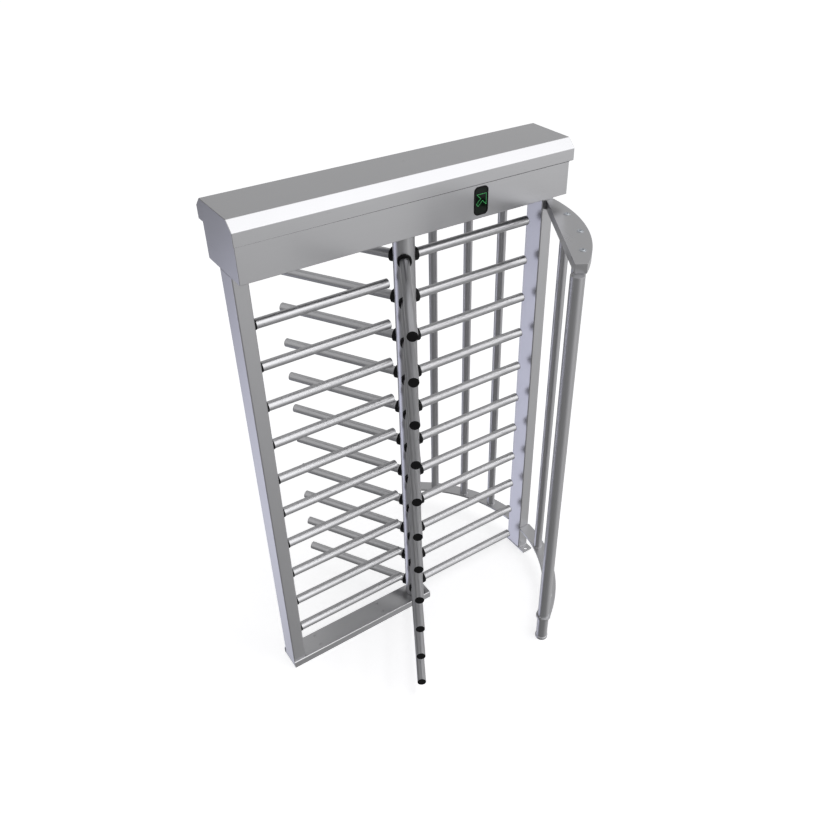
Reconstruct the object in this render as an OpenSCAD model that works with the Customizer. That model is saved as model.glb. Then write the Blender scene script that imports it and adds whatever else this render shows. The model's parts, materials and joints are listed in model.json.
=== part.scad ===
// Full-height turnstile with a three-wing rotor, a fixed comb of bars and a curved guide cage.
// The origin is on the rotor's axis at floor level, +Z is up, and the guide cage is at +X.

/* [Overall] */
// Height from the floor to the top of the lid
total_h = 2300; // [2200:10:2500]
// Clear width between the two posts
frame_inner_w = 1324; // [1310:2:1400]

/* [Posts] */
// Width of a post, across the passage
post_w = 60; // [50:1:80]
// Depth of a post, along the passage
post_d = 100; // [90:1:112]
// Wall of a post
post_t = 3; // [2:0.5:5]

/* [Header box] */
// Height from the header's floor to the top of the lid
header_h = 224; // [215:1:260]
// Reach of the header in front of the rotor's axis
header_front = 122; // [115:1:150]
// Reach of the header behind the rotor's axis
header_back = 144; // [125:1:170]
// Sheet of the header, the lid and its bulkheads
sheet_t = 2; // [1.5:0.5:3]
// Height of the lid
lid_h = 86; // [75:1:100]
// Width of the lid's sloped edge
lid_slope_w = 37; // [20:1:60]
// Height of the lid's sloped edge
lid_slope_h = 35; // [20:1:45]
// Overhang of the lid at the back
lid_over_back = 33; // [25:1:50]
// Overhang of the lid at the guide's end
lid_over_end = 22; // [10:1:40]
// How far the header's walls stand up inside the lid
lid_lap = 30; // [15:1:35]
// Width of a rail in the header
rail_w = 30; // [25:1:34]
// Clear distance between the two rails
rail_gap = 120; // [118:1:124]
// Length of the controller's case
controller_l = 220; // [150:5:240]
// Height of the controller's case
controller_h = 55; // [40:1:80]
// Length of the power supply's case
supply_l = 180; // [120:5:240]
// Height of the power supply's case
supply_h = 45; // [30:1:80]

/* [Lane display] */
// Width of the display
display_w = 66; // [50:1:90]
// Height of the display
display_h = 114; // [80:1:122]
// Corner radius of the display
display_r = 18; // [5:1:24]
// Distance of the display from the rotor's axis
display_x = 281; // [200:1:500]
// Distance from the header's floor to the display's lower edge
display_z = 15; // [12:1:20]
// How far the bezel stands out
bezel_out = 3; // [1:0.5:6]

/* [Base] */
// Height of the base cover
base_h = 38; // [34:1:60]
// Depth of the base cover
base_d = 116; // [114:1:140]
// Reach of the base past the rotor's axis
base_end = 62; // [56:1:90]
// Sheet of the base cover
cover_t = 3; // [1.5:0.5:4]
// Thickness of the floor plates
plate_t = 8; // [6:1:12]
// Diameter of the base's anchor holes
anchor_d = 13; // [9:1:14]
// Distance between the two anchor holes of a pair
anchor_y = 60; // [40:1:64]
// Distance from the rotor's axis to the first pair of anchor holes
anchor_x1 = 213; // [120:1:300]
// Distance from the rotor's axis to the second pair of anchor holes
anchor_x2 = 570; // [400:1:590]
// Reach of the right post's foot in front of and behind the post
foot_out = 44; // [38:1:60]
// Diameter of the foot's anchor holes
foot_hole_d = 18; // [12:1:20]
// Distance from the post's face to the foot's anchor holes
foot_hole_out = 26; // [22:1:27]
// Diameter of the cable entry under the left post
cable_d = 30; // [15:1:40]

/* [Rotor] */
// Diameter of the column
column_d = 88.9; // [80:0.1:92]
// Wall of the column
column_t = 4; // [3:0.5:6]
// Gap between the base cover and the column
column_gap = 3; // [2:0.5:8]
// Lowest height at which an arm row may lie
row_low = 100; // [90:1:104]
// Distance between two arm rows
row_pitch = 184; // [165:1:186]
// Distance from the header's floor down to the first arm row
row_drop = 132; // [110:1:140]
// Diameter of an arm
arm_d = 40; // [30:1:45]
// Wall of an arm
arm_t = 2; // [1.5:0.5:3]
// Distance from the axis to an arm's end cap
arm_reach = 622; // [560:1:630]
// Diameter of an arm's collar
collar_d = 58; // [50:1:66]
// Reach of the collar from the column
collar_out = 11; // [6:1:16]
// Thickness of an end cap
cap_t = 2; // [1.5:0.5:8]

/* [Comb] */
// Diameter of a comb bar
comb_d = 40; // [30:1:45]
// Wall of a comb bar
comb_t = 2; // [1.5:0.5:3]
// Height of a comb bar below the arm row above it
comb_drop = 94; // [85:1:98]
// Gap between the rotor's axis and the bars' free ends
comb_gap = 80; // [66:1:150]
// Length of the collar at a bar's root
comb_collar = 17; // [8:1:30]
// Thickness of the collar at a bar's root
comb_collar_t = 2; // [1:0.5:5]

/* [Guide cage] */
// How far the guide's ring reaches past the post's outer face
ring_over = 7; // [0:1:12]
// Width of the ring
ring_w = 67; // [60:1:70]
// Thickness of the ring
ring_t = 12; // [6:1:20]
// Height of the ring's upper face
ring_z = 156; // [120:1:220]
// Diameter of a guide tube
guide_d = 42; // [30:1:45]
// Angle of the first guide tube from the post
guide_a = 17.5; // [14:0.5:20]
// Angle between two guide tubes
guide_step = 14.5; // [12:0.5:15]
// Diameter of an end post
end_d = 55; // [45:1:56]
// Wall of an end post
end_t = 2.5; // [1.5:0.5:4]
// Angle of an end post
end_a = 57.4; // [54:0.2:59]
// Diameter of the flange under an end post
flange_d = 62; // [60:1:80]
// Thickness of that flange
flange_t = 12; // [6:1:20]
// How far the top segment's edge lies inside the ring's
seg_inset = 4; // [0:1:8]
// Width of the top segment at its middle
seg_w = 113; // [104:1:116]
// Angle of the segment's middle
seg_a = 31; // [30:0.5:33]
// How far the segment's end stops short of the end post's axis
seg_short = 8; // [0:1:12]
// Height of the top segment
seg_h = 40; // [25:1:50]
// Gap between the segment and the header's floor
seg_gap = 42; // [10:1:80]

/* [Mechanism] */
// Diameter of the rotor's shaft at its bearing
shaft_d = 40; // [35:1:45]
// Outer diameter of the bearing
bearing_d = 80; // [76:1:90]
// Height of the bearing
bearing_h = 18; // [14:1:20]
// Number of balls in the bearing
balls = 9; // [7:1:10]
// Diameter of the pivot pin under the column
pivot_d = 30; // [20:1:36]
// Length of the pivot pin inside the column
pivot_h = 40; // [30:1:60]
// Length of the mechanism plate
mech_l = 660; // [600:10:680]
// Thickness of the mechanism plate
mech_t = 8; // [6:1:12]
// Height of the mechanism plate above the header's floor
mech_z = 40; // [34:1:46]
// Module of the damper's gears
gear_m = 3; // [2.5:0.5:3]
// Teeth of the gear on the shaft
gear_n = 60; // [56:1:64]
// Teeth of the damper's pinion
pinion_n = 20; // [18:1:22]
// Thickness of the gears
gear_t = 12; // [8:1:16]
// Thickness of the gap above and below the gear
stack_gap = 6; // [5:0.5:8]

/* [Locks] */
// Diameter of the lock disc
disc_d = 150; // [146:1:154]
// Thickness of the lock disc
disc_t = 8; // [7:1:10]
// Width of a notch in the lock disc
notch_w = 16; // [15:1:20]
// Depth of a notch in the lock disc
notch_h = 12; // [12:1:14]
// Width of the ramp on each side of a notch
notch_ramp = 5; // [2:1:8]
// Swing of a pawl from free to locked, in degrees
pawl_swing = 8; // [6:0.5:8]
// Distance from a pawl's pivot to its tooth
pawl_len = 85; // [84:1:92]
// Distance from a pawl's pivot to its plunger
pawl_lever = 40; // [38:1:44]
// Diameter of a plunger
plunger_d = 12; // [10:1:14]
// Length of a solenoid
solenoid_l = 60; // [50:1:80]
// Width of a solenoid
solenoid_w = 44; // [36:1:48]

/* [Hidden] */
$fn = 64;
arc_fn = 240;
eps = 0.01;
run_clear = 0.05;
seat_clear = 0.3;
weld_gap = 0.05;
wings = [0, 120, 240];
notches = 4 * len(wings);
sides = [-1, 1];
post_x = frame_inner_w / 2;
post_mid = post_x + post_w / 2;
post_out = post_x + post_w;
head_z = total_h - header_h;
head_l = post_out;
head_r = post_out + 4;
lid_z = total_h - lid_h;
wall_top = lid_z + lid_lap;
cross_t = 8;
block_t = 20;
rail_y = (rail_gap + rail_w) / 2;
mount_z = head_z + mech_z;
mount_top = mount_z + mech_t;
mech_half = mech_l / 2;
bulk_x = mech_half + rail_gap / 2;
case_gap = 40;
bolt_r = 4;
screw_r = 3;
guide_head_r = 10;
guide_head_h = 3;
guide_screw_l = 10;
guide_bore_l = guide_screw_l + 2;
hole_clear = 0.2;
lens_t = 2;
lens_lip = 1.5;
window_edge = 3;
bezel_wall = 2;
arrow_gap = 1.5;
arrow_line = 3;
row_z1 = head_z - row_drop;
rows = floor((row_z1 - row_low) / row_pitch) + 1;
column_r = column_d / 2;
column_z = base_h + column_gap;
shaft_r = shaft_d / 2;
bearing_r = bearing_d / 2;
bearing_z = mount_z - bearing_h;
housing_lip = 3;
column_top = bearing_z - 8;
plug_t = 20;
arm_in = column_r - column_t;
cap_plug = 20;
bush_wall = 5;
washer_t = 3;
flange_h = 10;
ball_pitch = (shaft_r + bearing_r) / 2;
ball_r = (bearing_r - shaft_r) * 0.3;
race_gap = ball_r * 0.9;
gear_z = mount_top + stack_gap;
gear_r = gear_m * gear_n / 2;
pinion_r = gear_m * pinion_n / 2;
mesh_gap = 0.3;
gear_dist = gear_r + pinion_r + mesh_gap;
disc_z = gear_z + gear_t + stack_gap;
disc_mid = disc_z + disc_t / 2;
disc_r = disc_d / 2;
nut_t = 8;
spacer_r = shaft_r + 6;
damper_r = 32;
pawl_pin_r = 5;
pawl_boss_r = 9;
pawl_gap = 1.5;
pawl_y = disc_r - 3;
bar_y = disc_r + notch_h + 4;
bar_w = 10;
tooth_w = notch_w - 4;
lever_w = 12;
link_r = 3;
link_clear = 0.3;
link_y = pawl_y - pawl_lever;
fork_gap = 0.5;
fork_t = 3;
web_gap = 3;
web_t = 4;
solenoid_x = pawl_len + 30;
plunger_in = 45;
ring_r = post_out + ring_over;
guide_r = ring_r - ring_w / 2 - 6;
end_r = ring_r - ring_w / 2;
ring_boss = 2;
seg_r = ring_r - seg_inset;
seg_chord = seg_r - seg_w;
seg_z = head_z - seg_gap - seg_h;
seg_end = end_r * sin(end_a - seg_a) - seg_short;

// A tube along +Z with its foot at the origin
module tube(d, t, h) {
    difference() {
        cylinder(d = d, h = h);
        translate([0, 0, -1]) cylinder(d = d - 2 * t, h = h + 2);
    }
}

// A rectangular tube along +Z, centred on the origin
module box_tube(w, d, t, h) {
    difference() {
        translate([-w / 2, -d / 2, 0]) cube([w, d, h]);
        translate([-w / 2 + t, -d / 2 + t, -1]) cube([w - 2 * t, d - 2 * t, h + 2]);
    }
}

// A rounded rectangle in the plane, centred on the origin
module rounded(w, h, r) {
    union() {
        square([w - 2 * r, h], center = true);
        square([w, h - 2 * r], center = true);
        for (x = sides, y = sides) translate([x * (w / 2 - r), y * (h / 2 - r)]) circle(r = r);
    }
}

// Places its children at every arm row
module at_rows() {
    for (k = [0 : rows - 1]) translate([0, 0, row_z1 - k * row_pitch]) children();
}

// Places its children at every comb bar's root on the left post
module at_bars() {
    for (k = [0 : rows - 2]) translate([-post_x, 0, row_z1 - comb_drop - k * row_pitch])
        rotate([0, 90, 0]) children();
}

// A cheese-head screw along -Z with its head's seat at the origin
module screw(r, l) {
    union() {
        cylinder(r = 1.8 * r, h = 1.2 * r);
        translate([0, 0, -l]) cylinder(r = r, h = l + eps);
    }
}

// Places its children at the base's four anchor holes, on the floor
module at_anchors() {
    for (x = [anchor_x1, anchor_x2], y = sides) translate([-x, y * anchor_y / 2, 0]) children();
}

// Floor plate with its anchor holes, the cable entry and the pivot's threads
module base_plate() {
    plate_l = post_out + base_end - cover_t - 1;
    color("gray") difference() {
        translate([-post_out, -post_d / 2, 0]) cube([plate_l, post_d, plate_t]);
        at_anchors() translate([0, 0, -1]) cylinder(d = anchor_d, h = plate_t + 2);
        translate([-post_mid, 0, -1]) cylinder(d = cable_d, h = plate_t + 2);
        at_pivot_screws() translate([0, 0, 2 - plate_t]) cylinder(r = bolt_r, h = plate_t);
    }
}

// Folded cover over the floor plate, cut out round the left post
module base_cover() {
    cut_x = post_out + 2;
    color("darkgray") difference() {
        translate([-post_out - 1, -base_d / 2, 0]) cube([post_out + 1 + base_end, base_d, base_h]);
        translate([-cut_x, cover_t - base_d / 2, -1])
            cube([cut_x + base_end - cover_t, base_d - 2 * cover_t, base_h - cover_t + 1]);
        translate([-cut_x, -post_d / 2 - seat_clear, -1])
            cube([post_w + 2 + seat_clear, post_d + 2 * seat_clear, base_h + 2]);
        translate([0, 0, base_h - cover_t - 1]) cylinder(r = column_r - 10, h = cover_t + 2);
        at_anchors() translate([0, 0, base_h - cover_t - 1]) cylinder(d = anchor_d, h = cover_t + 2);
    }
}

// Tubes round the anchor bolts that carry the cover's top
module base_spacers() {
    color("silver") at_anchors() translate([0, 0, plate_t])
        tube(anchor_d + 12, 5.5, base_h - cover_t - plate_t);
}

// Left post, bored for the comb bars
module left_post() {
    color("lightgray") difference() {
        translate([-post_mid, 0, plate_t]) box_tube(post_w, post_d, post_t, head_z - plate_t);
        at_bars() translate([0, 0, -post_t - 1]) cylinder(d = comb_d + hole_clear, h = post_t + 2);
    }
}

// Right post, at the guide cage
module right_post() {
    color("lightgray") translate([post_mid, 0, plate_t])
        box_tube(post_w, post_d, post_t, head_z - plate_t);
}

// Floor plate of the right post
module right_foot() {
    color("gray") difference() {
        translate([post_x, -post_d / 2 - foot_out, 0]) cube([post_w, post_d + 2 * foot_out, plate_t]);
        for (y = sides) translate([post_mid, y * (post_d / 2 + foot_hole_out), -1])
            cylinder(d = foot_hole_d, h = plate_t + 2);
    }
}

// Places its children at the bolts of both posts, on the posts' tops
module at_post_bolts() {
    for (s = sides, x = sides, y = sides)
        translate([s * post_mid + x * post_w * 0.25, y * post_d * 0.32, head_z]) children();
}

// Threaded blocks welded into the posts' tops
module post_top_blocks() {
    w = post_w - 2 * post_t;
    d = post_d - 2 * post_t;
    color("gray") difference() {
        for (s = sides) translate([s * post_mid - w / 2, -d / 2, head_z - block_t])
            cube([w, d, block_t]);
        for (s = sides) translate([s * post_mid, 0, head_z - block_t - 1])
            cylinder(d = cable_d, h = block_t + 2);
        at_post_bolts() translate([0, 0, -block_t - 1]) cylinder(r = bolt_r, h = block_t + 2);
    }
}

// Outline of the lid's section: x is the depth, y the height
module lid_outline(inset) {
    f = -header_front - sheet_t + inset;
    b = header_back + lid_over_back - inset;
    top = total_h - inset;
    k = inset * (sqrt(lid_slope_w * lid_slope_w + lid_slope_h * lid_slope_h) - lid_slope_h) / lid_slope_w;
    low = lid_z - (inset > 0 ? 1 : 0);
    polygon([[f, low], [b, low], [b, total_h - lid_slope_h - k], [b + inset - lid_slope_w - k, top],
        [f - inset + lid_slope_w + k, top], [f, total_h - lid_slope_h - k]]);
}

// Extrudes a section drawn as depth and height along +X
module along_x(x0, x1) {
    translate([x0, 0, 0]) rotate([90, 0, 90]) linear_extrude(x1 - x0) children();
}

// Floor of the header, with the holes for the rotor, the cables and the post bolts
module header_floor() {
    difference() {
        translate([-head_l, -header_front, head_z])
            cube([head_l + head_r, header_front + header_back, sheet_t]);
        translate([0, 0, head_z - 1]) cylinder(r = column_r + 4, h = sheet_t + 2);
        for (s = sides) translate([s * post_mid, 0, head_z - 1]) cylinder(d = cable_d, h = sheet_t + 2);
        at_post_bolts() translate([0, 0, -1]) cylinder(r = bolt_r + hole_clear, h = sheet_t + 2);
    }
}

// Sheet box made of a floor, a front with the display's window, a back and two ends
module header_body() {
    inset = sheet_t + weld_gap;
    l = head_l + head_r;
    d = header_front + header_back;
    h = wall_top - head_z - inset;
    color("silver") union() {
        header_floor();
        difference() {
            translate([-head_l, -header_front, head_z + inset]) cube([l, sheet_t, h]);
            at_display() translate([0, 0, -sheet_t - 1]) linear_extrude(sheet_t + 2)
                display_outline(window_edge);
        }
        translate([-head_l, header_back - sheet_t, head_z + inset]) cube([l, sheet_t, h]);
        for (x = [-head_l, head_r - sheet_t]) translate([x, inset - header_front, head_z + inset])
            cube([sheet_t, d - 2 * inset, h]);
    }
}

// Plates over the posts that carry the rails
module header_cross_plates() {
    l = 2 * rail_y + rail_w;
    w = post_w - 2 * sheet_t;
    color("gray") difference() {
        for (s = sides) translate([s * post_mid - w / 2, -l / 2, head_z + sheet_t]) cube([w, l, cross_t]);
        for (s = sides) translate([s * post_mid, 0, head_z]) cylinder(d = cable_d, h = 2 * cross_t);
        at_post_bolts() cylinder(r = bolt_r + hole_clear, h = 2 * cross_t);
    }
}

// Two box rails along the header that carry the mechanism
module header_rails() {
    rail_z = head_z + sheet_t + cross_t;
    rail_h = mount_z - rail_z;
    rail_l = head_l + head_r - 2 * sheet_t;
    color("gray") difference() {
        for (y = sides) translate([sheet_t - head_l, y * rail_y, rail_z + rail_h / 2])
            rotate([0, 90, 0]) box_tube(rail_h, rail_w, 3, rail_l);
        at_plate_bolts() translate([0, 0, -4]) cylinder(r = bolt_r, h = 5);
    }
}

// Two cross walls on the rails that carry the lid
module header_bulkheads() {
    color("darkgray") for (x = [-bulk_x, bulk_x]) difference() {
        along_x(x - sheet_t / 2, x + sheet_t / 2) intersection() {
            union() {
                lid_outline(sheet_t);
                translate([-header_front, mount_z]) square([header_front + header_back, lid_z - mount_z]);
            }
            translate([sheet_t - header_front, mount_z])
                square([header_front + header_back - 2 * sheet_t, header_h]);
        }
        translate([x - sheet_t, (header_back - header_front) / 2, (mount_z + total_h) / 2])
            rotate([0, 90, 0]) cylinder(r = 45, h = 2 * sheet_t);
    }
}

// Folded lid with sloped edges, end caps and a return under its overhangs
module header_lid() {
    x0 = -head_l - sheet_t;
    x1 = head_r + lid_over_end;
    inner_d = header_front + header_back + lid_over_back - sheet_t;
    color("silver") difference() {
        union() {
            difference() {
                along_x(x0, x1) lid_outline(0);
                along_x(x0 + sheet_t, x1 - sheet_t) lid_outline(sheet_t);
            }
            difference() {
                translate([x0 + sheet_t, -header_front, lid_z])
                    cube([x1 - x0 - 2 * sheet_t, inner_d, sheet_t]);
                translate([-head_l - 1, -header_front - 1, lid_z - 1])
                    cube([head_l + head_r + 1, header_front + header_back + 1, sheet_t + 2]);
            }
        }
        at_lid_screws() translate([0, 0, -sheet_t - 1]) cylinder(r = screw_r, h = sheet_t + 2);
    }
}

// Places its children at the lid's screws, on its rear face with +Z outwards
module at_lid_screws() {
    reach = head_l - 2.4 * lid_over_back;
    for (k = [0 : 3])
        translate([(k * 2 / 3 - 1) * reach, header_back + lid_over_back, lid_z + (lid_lap + sheet_t) / 2])
            rotate([-90, 0, 0]) children();
}

// Box rail behind the header that the lid's rear skirt is screwed to
module lid_rail() {
    rail_d = lid_over_back - sheet_t;
    rail_h = lid_lap - sheet_t;
    color("gray") difference() {
        translate([20 - head_l, header_back + rail_d / 2, lid_z + sheet_t + rail_h / 2])
            rotate([0, 90, 0]) box_tube(rail_h, rail_d, sheet_t, head_l + head_r - 40);
        at_lid_screws() translate([0, 0, -2 * sheet_t - 1]) cylinder(r = screw_r, h = sheet_t + 2);
    }
}

// Screws that hold the lid
module lid_screws() {
    color("silver") at_lid_screws() screw(screw_r, 10);
}

// Bolts that hold the cross plates and the header on the posts
module post_bolts() {
    color("silver") at_post_bolts() union() {
        translate([0, 0, sheet_t + cross_t]) cylinder(r = 1.8 * bolt_r, h = 1.6 * bolt_r, $fn = 6);
        translate([0, 0, 2 - block_t]) cylinder(r = bolt_r, h = block_t + sheet_t + cross_t);
    }
}

// Outline of the display, drawn in by an edge
module display_outline(edge) {
    rounded(display_w - 2 * edge, display_h - 2 * edge, display_r - edge);
}

// Places its children on the header's front, with +Z outwards and +Y up
module at_display() {
    translate([display_x, -header_front, head_z + display_z + display_h / 2])
        rotate([90, 0, 0]) children();
}

// Black frame round the lane display, set in the header's window
module display_bezel() {
    tail = sheet_t + 6;
    inner = window_edge + bezel_wall;
    color("black") at_display() difference() {
        union() {
            linear_extrude(bezel_out) display_outline(0);
            translate([0, 0, -tail]) linear_extrude(tail + eps) display_outline(window_edge + seat_clear);
        }
        translate([0, 0, -tail - 1]) linear_extrude(tail + 1 + bezel_out - lens_lip) display_outline(inner);
        translate([0, 0, -1]) linear_extrude(bezel_out + 2) display_outline(inner + lens_lip);
    }
}

// Dark lens behind the frame's lip
module display_lens() {
    color("darkgreen") at_display() translate([0, 0, bezel_out - lens_lip - lens_t])
        linear_extrude(lens_t) display_outline(window_edge + bezel_wall + hole_clear);
}

// Outline of an arrow that points up, as wide as its head and drawn in by an inset
module arrow_outline(w, inset) {
    slant = inset * (1 + sqrt(2));
    stem = w * 0.11 - inset;
    foot = inset - w * 0.4;
    polygon([[slant - w / 2, inset], [-stem, inset], [-stem, foot], [stem, foot], [stem, inset],
        [w / 2 - slant, inset], [0, w / 2 - inset * sqrt(2)]]);
}

// Lit outline of an arrow on the lens, pointing up and to the right
module display_arrow() {
    w = (display_w - 2 * (window_edge + bezel_wall + lens_lip + arrow_gap)) * sqrt(2);
    color("lime") at_display() translate([0, display_h * 0.03, bezel_out - lens_lip])
        linear_extrude(0.6) rotate(-45) difference() {
            arrow_outline(w, 0);
            arrow_outline(w, arrow_line);
        }
}

// Circuit board behind the lens, on the frame's tail
module display_board() {
    board_t = 1.6;
    color("green") at_display() translate([0, 0, -sheet_t - 6 - board_t])
        linear_extrude(board_t) display_outline(window_edge + seat_clear);
}

// Comb bars, seated in the left post and closed at their free ends
module comb_bars() {
    seat = 20;
    color("whitesmoke") at_bars() difference() {
        translate([0, 0, -seat]) cylinder(d = comb_d, h = post_x - comb_gap + seat);
        translate([0, 0, -seat - 1])
            cylinder(d = comb_d - 2 * comb_t, h = post_x - comb_gap + seat + 1 - comb_t);
    }
}

// Black collars at the comb bars' roots
module comb_collars() {
    color("black") at_bars() tube(comb_d + 2 * comb_collar_t, comb_collar_t, comb_collar);
}

// One side of the guide's lower ring, welded to the post's face
module guide_ring() {
    wedge = 2 * ring_r;
    translate([0, 0, ring_z - ring_t]) linear_extrude(ring_t) difference() {
        union() {
            intersection() {
                difference() {
                    circle(r = ring_r, $fn = arc_fn);
                    circle(r = ring_r - ring_w, $fn = arc_fn);
                }
                polygon([[0, 0], [wedge, 0], [wedge, -wedge], [wedge * cos(end_a), -wedge * sin(end_a)]]);
            }
            at_end() circle(r = ring_w / 2 + ring_boss);
        }
        translate([0, -post_d / 2]) square([ring_r + 1, post_d]);
        at_end() circle(d = end_d);
    }
}

// Places its children at the front end post's foot
module at_end() {
    translate([end_r * cos(end_a), -end_r * sin(end_a), 0]) children();
}

// Places its children at the foot of each guide tube
module at_guides() {
    for (k = [0 : 2]) rotate([0, 0, -guide_a - k * guide_step]) translate([guide_r, 0, 0]) children();
}

// Top segment: an outer arc and a straight inner edge, square at its free end
module guide_top() {
    rotate([0, 0, -seg_a]) translate([0, 0, seg_z]) difference() {
        intersection() {
            cylinder(r = seg_r, h = seg_h, $fn = arc_fn);
            translate([seg_chord, -seg_end, -1]) cube([seg_r, 2 * seg_r, seg_h + 2]);
        }
        rotate([0, 0, seg_a]) translate([0, -post_d / 2, -1]) cube([ring_r + 9, seg_r, seg_h + 2]);
        rotate([0, 0, seg_a]) at_guides() translate([0, 0, seg_h - guide_bore_l])
            cylinder(r = screw_r, h = guide_bore_l + 1);
    }
}

// Both sides of its children, in front of and behind the post
module front_and_rear() {
    for (s = [0, 1]) mirror([0, s, 0]) children();
}

// Lower rings of the guide
module guide_rings() {
    color("silver") front_and_rear() guide_ring();
}

// Upright tubes of the guide
module guide_tubes() {
    color("silver") front_and_rear() at_guides() translate([0, 0, ring_z])
        tube(guide_d, 2, seg_z - ring_z);
}

// Posts at the guide's free ends, closed at their tops
module end_posts() {
    l = seg_z - flange_t;
    color("silver") front_and_rear() at_end() translate([0, 0, flange_t]) difference() {
        cylinder(d = end_d, h = l);
        translate([0, 0, -1]) cylinder(d = end_d - 2 * end_t, h = l + 1 - end_t);
    }
}

// Floor flanges under the end posts
module end_flanges() {
    color("gray") front_and_rear() at_end() cylinder(d = flange_d, h = flange_t);
}

// Top segments of the guide
module guide_tops() {
    color("silver") front_and_rear() guide_top();
}

// Screws from the top segments into the guide tubes
module guide_screws() {
    color("darkgray") front_and_rear() at_guides() translate([0, 0, seg_z + seg_h]) union() {
        cylinder(r = guide_head_r, h = guide_head_h);
        translate([0, 0, -guide_screw_l]) cylinder(r = screw_r, h = guide_screw_l + eps);
    }
}

// Column tube with a bore for every arm
module rotor_column() {
    color("lightgray") difference() {
        translate([0, 0, column_z]) tube(column_d, column_t, column_top - column_z);
        at_rows() for (a = wings) rotate([0, 90, a]) cylinder(d = arm_d + hole_clear, h = column_d);
    }
}

// Plug in the column's head that carries the shaft
module column_plug_top() {
    color("gray") translate([0, 0, column_top - plug_t]) difference() {
        cylinder(r = column_r - column_t, h = plug_t);
        translate([0, 0, -1]) cylinder(r = shaft_r, h = plug_t + 2);
    }
}

// Plug in the column's foot, bored for the pivot's bush
module column_plug_bottom() {
    color("gray") translate([0, 0, column_z]) tube(2 * arm_in, arm_in - pivot_d / 2 - bush_wall, pivot_h);
}

// Bush in the column's foot that turns on the pivot pin
module pivot_bush() {
    color("goldenrod") translate([0, 0, column_z]) difference() {
        cylinder(r = pivot_d / 2 + bush_wall, h = pivot_h);
        translate([0, 0, -1]) cylinder(r = pivot_d / 2 + run_clear, h = pivot_h + 2);
    }
}

// Washer on the pivot's shoulder that carries the column
module thrust_washer() {
    color("goldenrod") translate([0, 0, column_z - seat_clear - washer_t]) difference() {
        cylinder(r = pivot_d / 2 + 7, h = washer_t);
        translate([0, 0, -1]) cylinder(r = pivot_d / 2 + run_clear, h = washer_t + 2);
    }
}

// Fixed pin with its shoulder and its flange on the floor plate
module pivot_pin() {
    shoulder = column_z - seat_clear - washer_t;
    color("dimgray") difference() {
        union() {
            translate([0, 0, plate_t]) cylinder(r = post_d / 2 - 8, h = flange_h);
            translate([0, 0, plate_t]) cylinder(r = pivot_d / 2 + 7, h = shoulder - plate_t);
            translate([0, 0, plate_t]) cylinder(d = pivot_d, h = column_z + pivot_h - 4 - plate_t);
        }
        at_pivot_screws() translate([0, 0, -1]) cylinder(r = bolt_r + hole_clear, h = flange_h + 2);
    }
}

// Places its children at the pivot's four screws, on the floor plate
module at_pivot_screws() {
    for (a = [45 : 90 : 315]) rotate([0, 0, a]) translate([post_d / 2 - 17, 0, plate_t]) children();
}

// Screws that hold the pivot pin
module pivot_screws() {
    color("silver") at_pivot_screws() translate([0, 0, flange_h]) screw(bolt_r, flange_h + plate_t - 4);
}

// Shaft in the column's head, with its shoulder under the bearing
module rotor_shaft() {
    foot = column_top - plug_t;
    top = disc_z + disc_t + nut_t + 4;
    color("dimgray") union() {
        translate([0, 0, foot]) cylinder(r = shaft_r, h = top - foot);
        translate([0, 0, column_top]) cylinder(r = shaft_r + 4, h = bearing_z - column_top);
    }
}

// Spacers on the shaft below and above the gear
module shaft_spacers() {
    color("silver") union() {
        translate([0, 0, mount_z]) tube(2 * spacer_r, spacer_r - shaft_r, gear_z - mount_z);
        translate([0, 0, gear_z + gear_t]) tube(2 * spacer_r, spacer_r - shaft_r, stack_gap);
    }
}

// Nut that clamps the stack on the shaft
module shaft_nut() {
    color("gray") translate([0, 0, disc_z + disc_t]) difference() {
        cylinder(r = shaft_r + 10, h = nut_t, $fn = 6);
        translate([0, 0, -1]) cylinder(r = shaft_r, h = nut_t + 2);
    }
}

// The arms of one wing, seated in the column's wall
module arms() {
    color("silver") at_rows() rotate([0, 90, 0]) translate([0, 0, arm_in])
        tube(arm_d, arm_t, arm_reach - cap_t - arm_in);
}

// Arms of the first wing
module arms_a() {
    rotate([0, 0, wings[0]]) arms();
}

// Arms of the second wing
module arms_b() {
    rotate([0, 0, wings[1]]) arms();
}

// Arms of the third wing
module arms_c() {
    rotate([0, 0, wings[2]]) arms();
}

// Black collars round the arms' roots, shaped to the column
module arm_collars() {
    color("black") for (a = wings) rotate([0, 0, a]) at_rows() difference() {
        rotate([0, 90, 0]) cylinder(d = collar_d, h = column_r + collar_out);
        translate([0, 0, -collar_d]) cylinder(r = column_r, h = 2 * collar_d);
        rotate([0, 90, 0]) cylinder(d = arm_d, h = column_d);
    }
}

// Black caps in the arms' ends
module arm_caps() {
    bevel = 1;
    color("black") for (a = wings) rotate([0, 0, a]) at_rows()
        rotate([0, 90, 0]) translate([0, 0, arm_reach - cap_t - cap_plug]) rotate_extrude()
            polygon([[0, 0], [arm_d / 2 - arm_t, 0], [arm_d / 2 - arm_t, cap_plug], [arm_d / 2, cap_plug],
                [arm_d / 2, cap_plug + cap_t - bevel], [arm_d / 2 - bevel, cap_plug + cap_t],
                [0, cap_plug + cap_t]]);
}

// Places its children at the plate's bolts, on the rails' tops
module at_plate_bolts() {
    for (x = [20 - mech_half, mech_half - 20], y = sides) translate([x, y * rail_y, mount_z]) children();
}

// Places its children at the bearing housing's bolts, on the plate
module at_housing_bolts() {
    for (a = [45 : 90 : 315]) rotate([0, 0, a]) translate([bearing_r + 8, 0, mount_top]) children();
}

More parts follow.
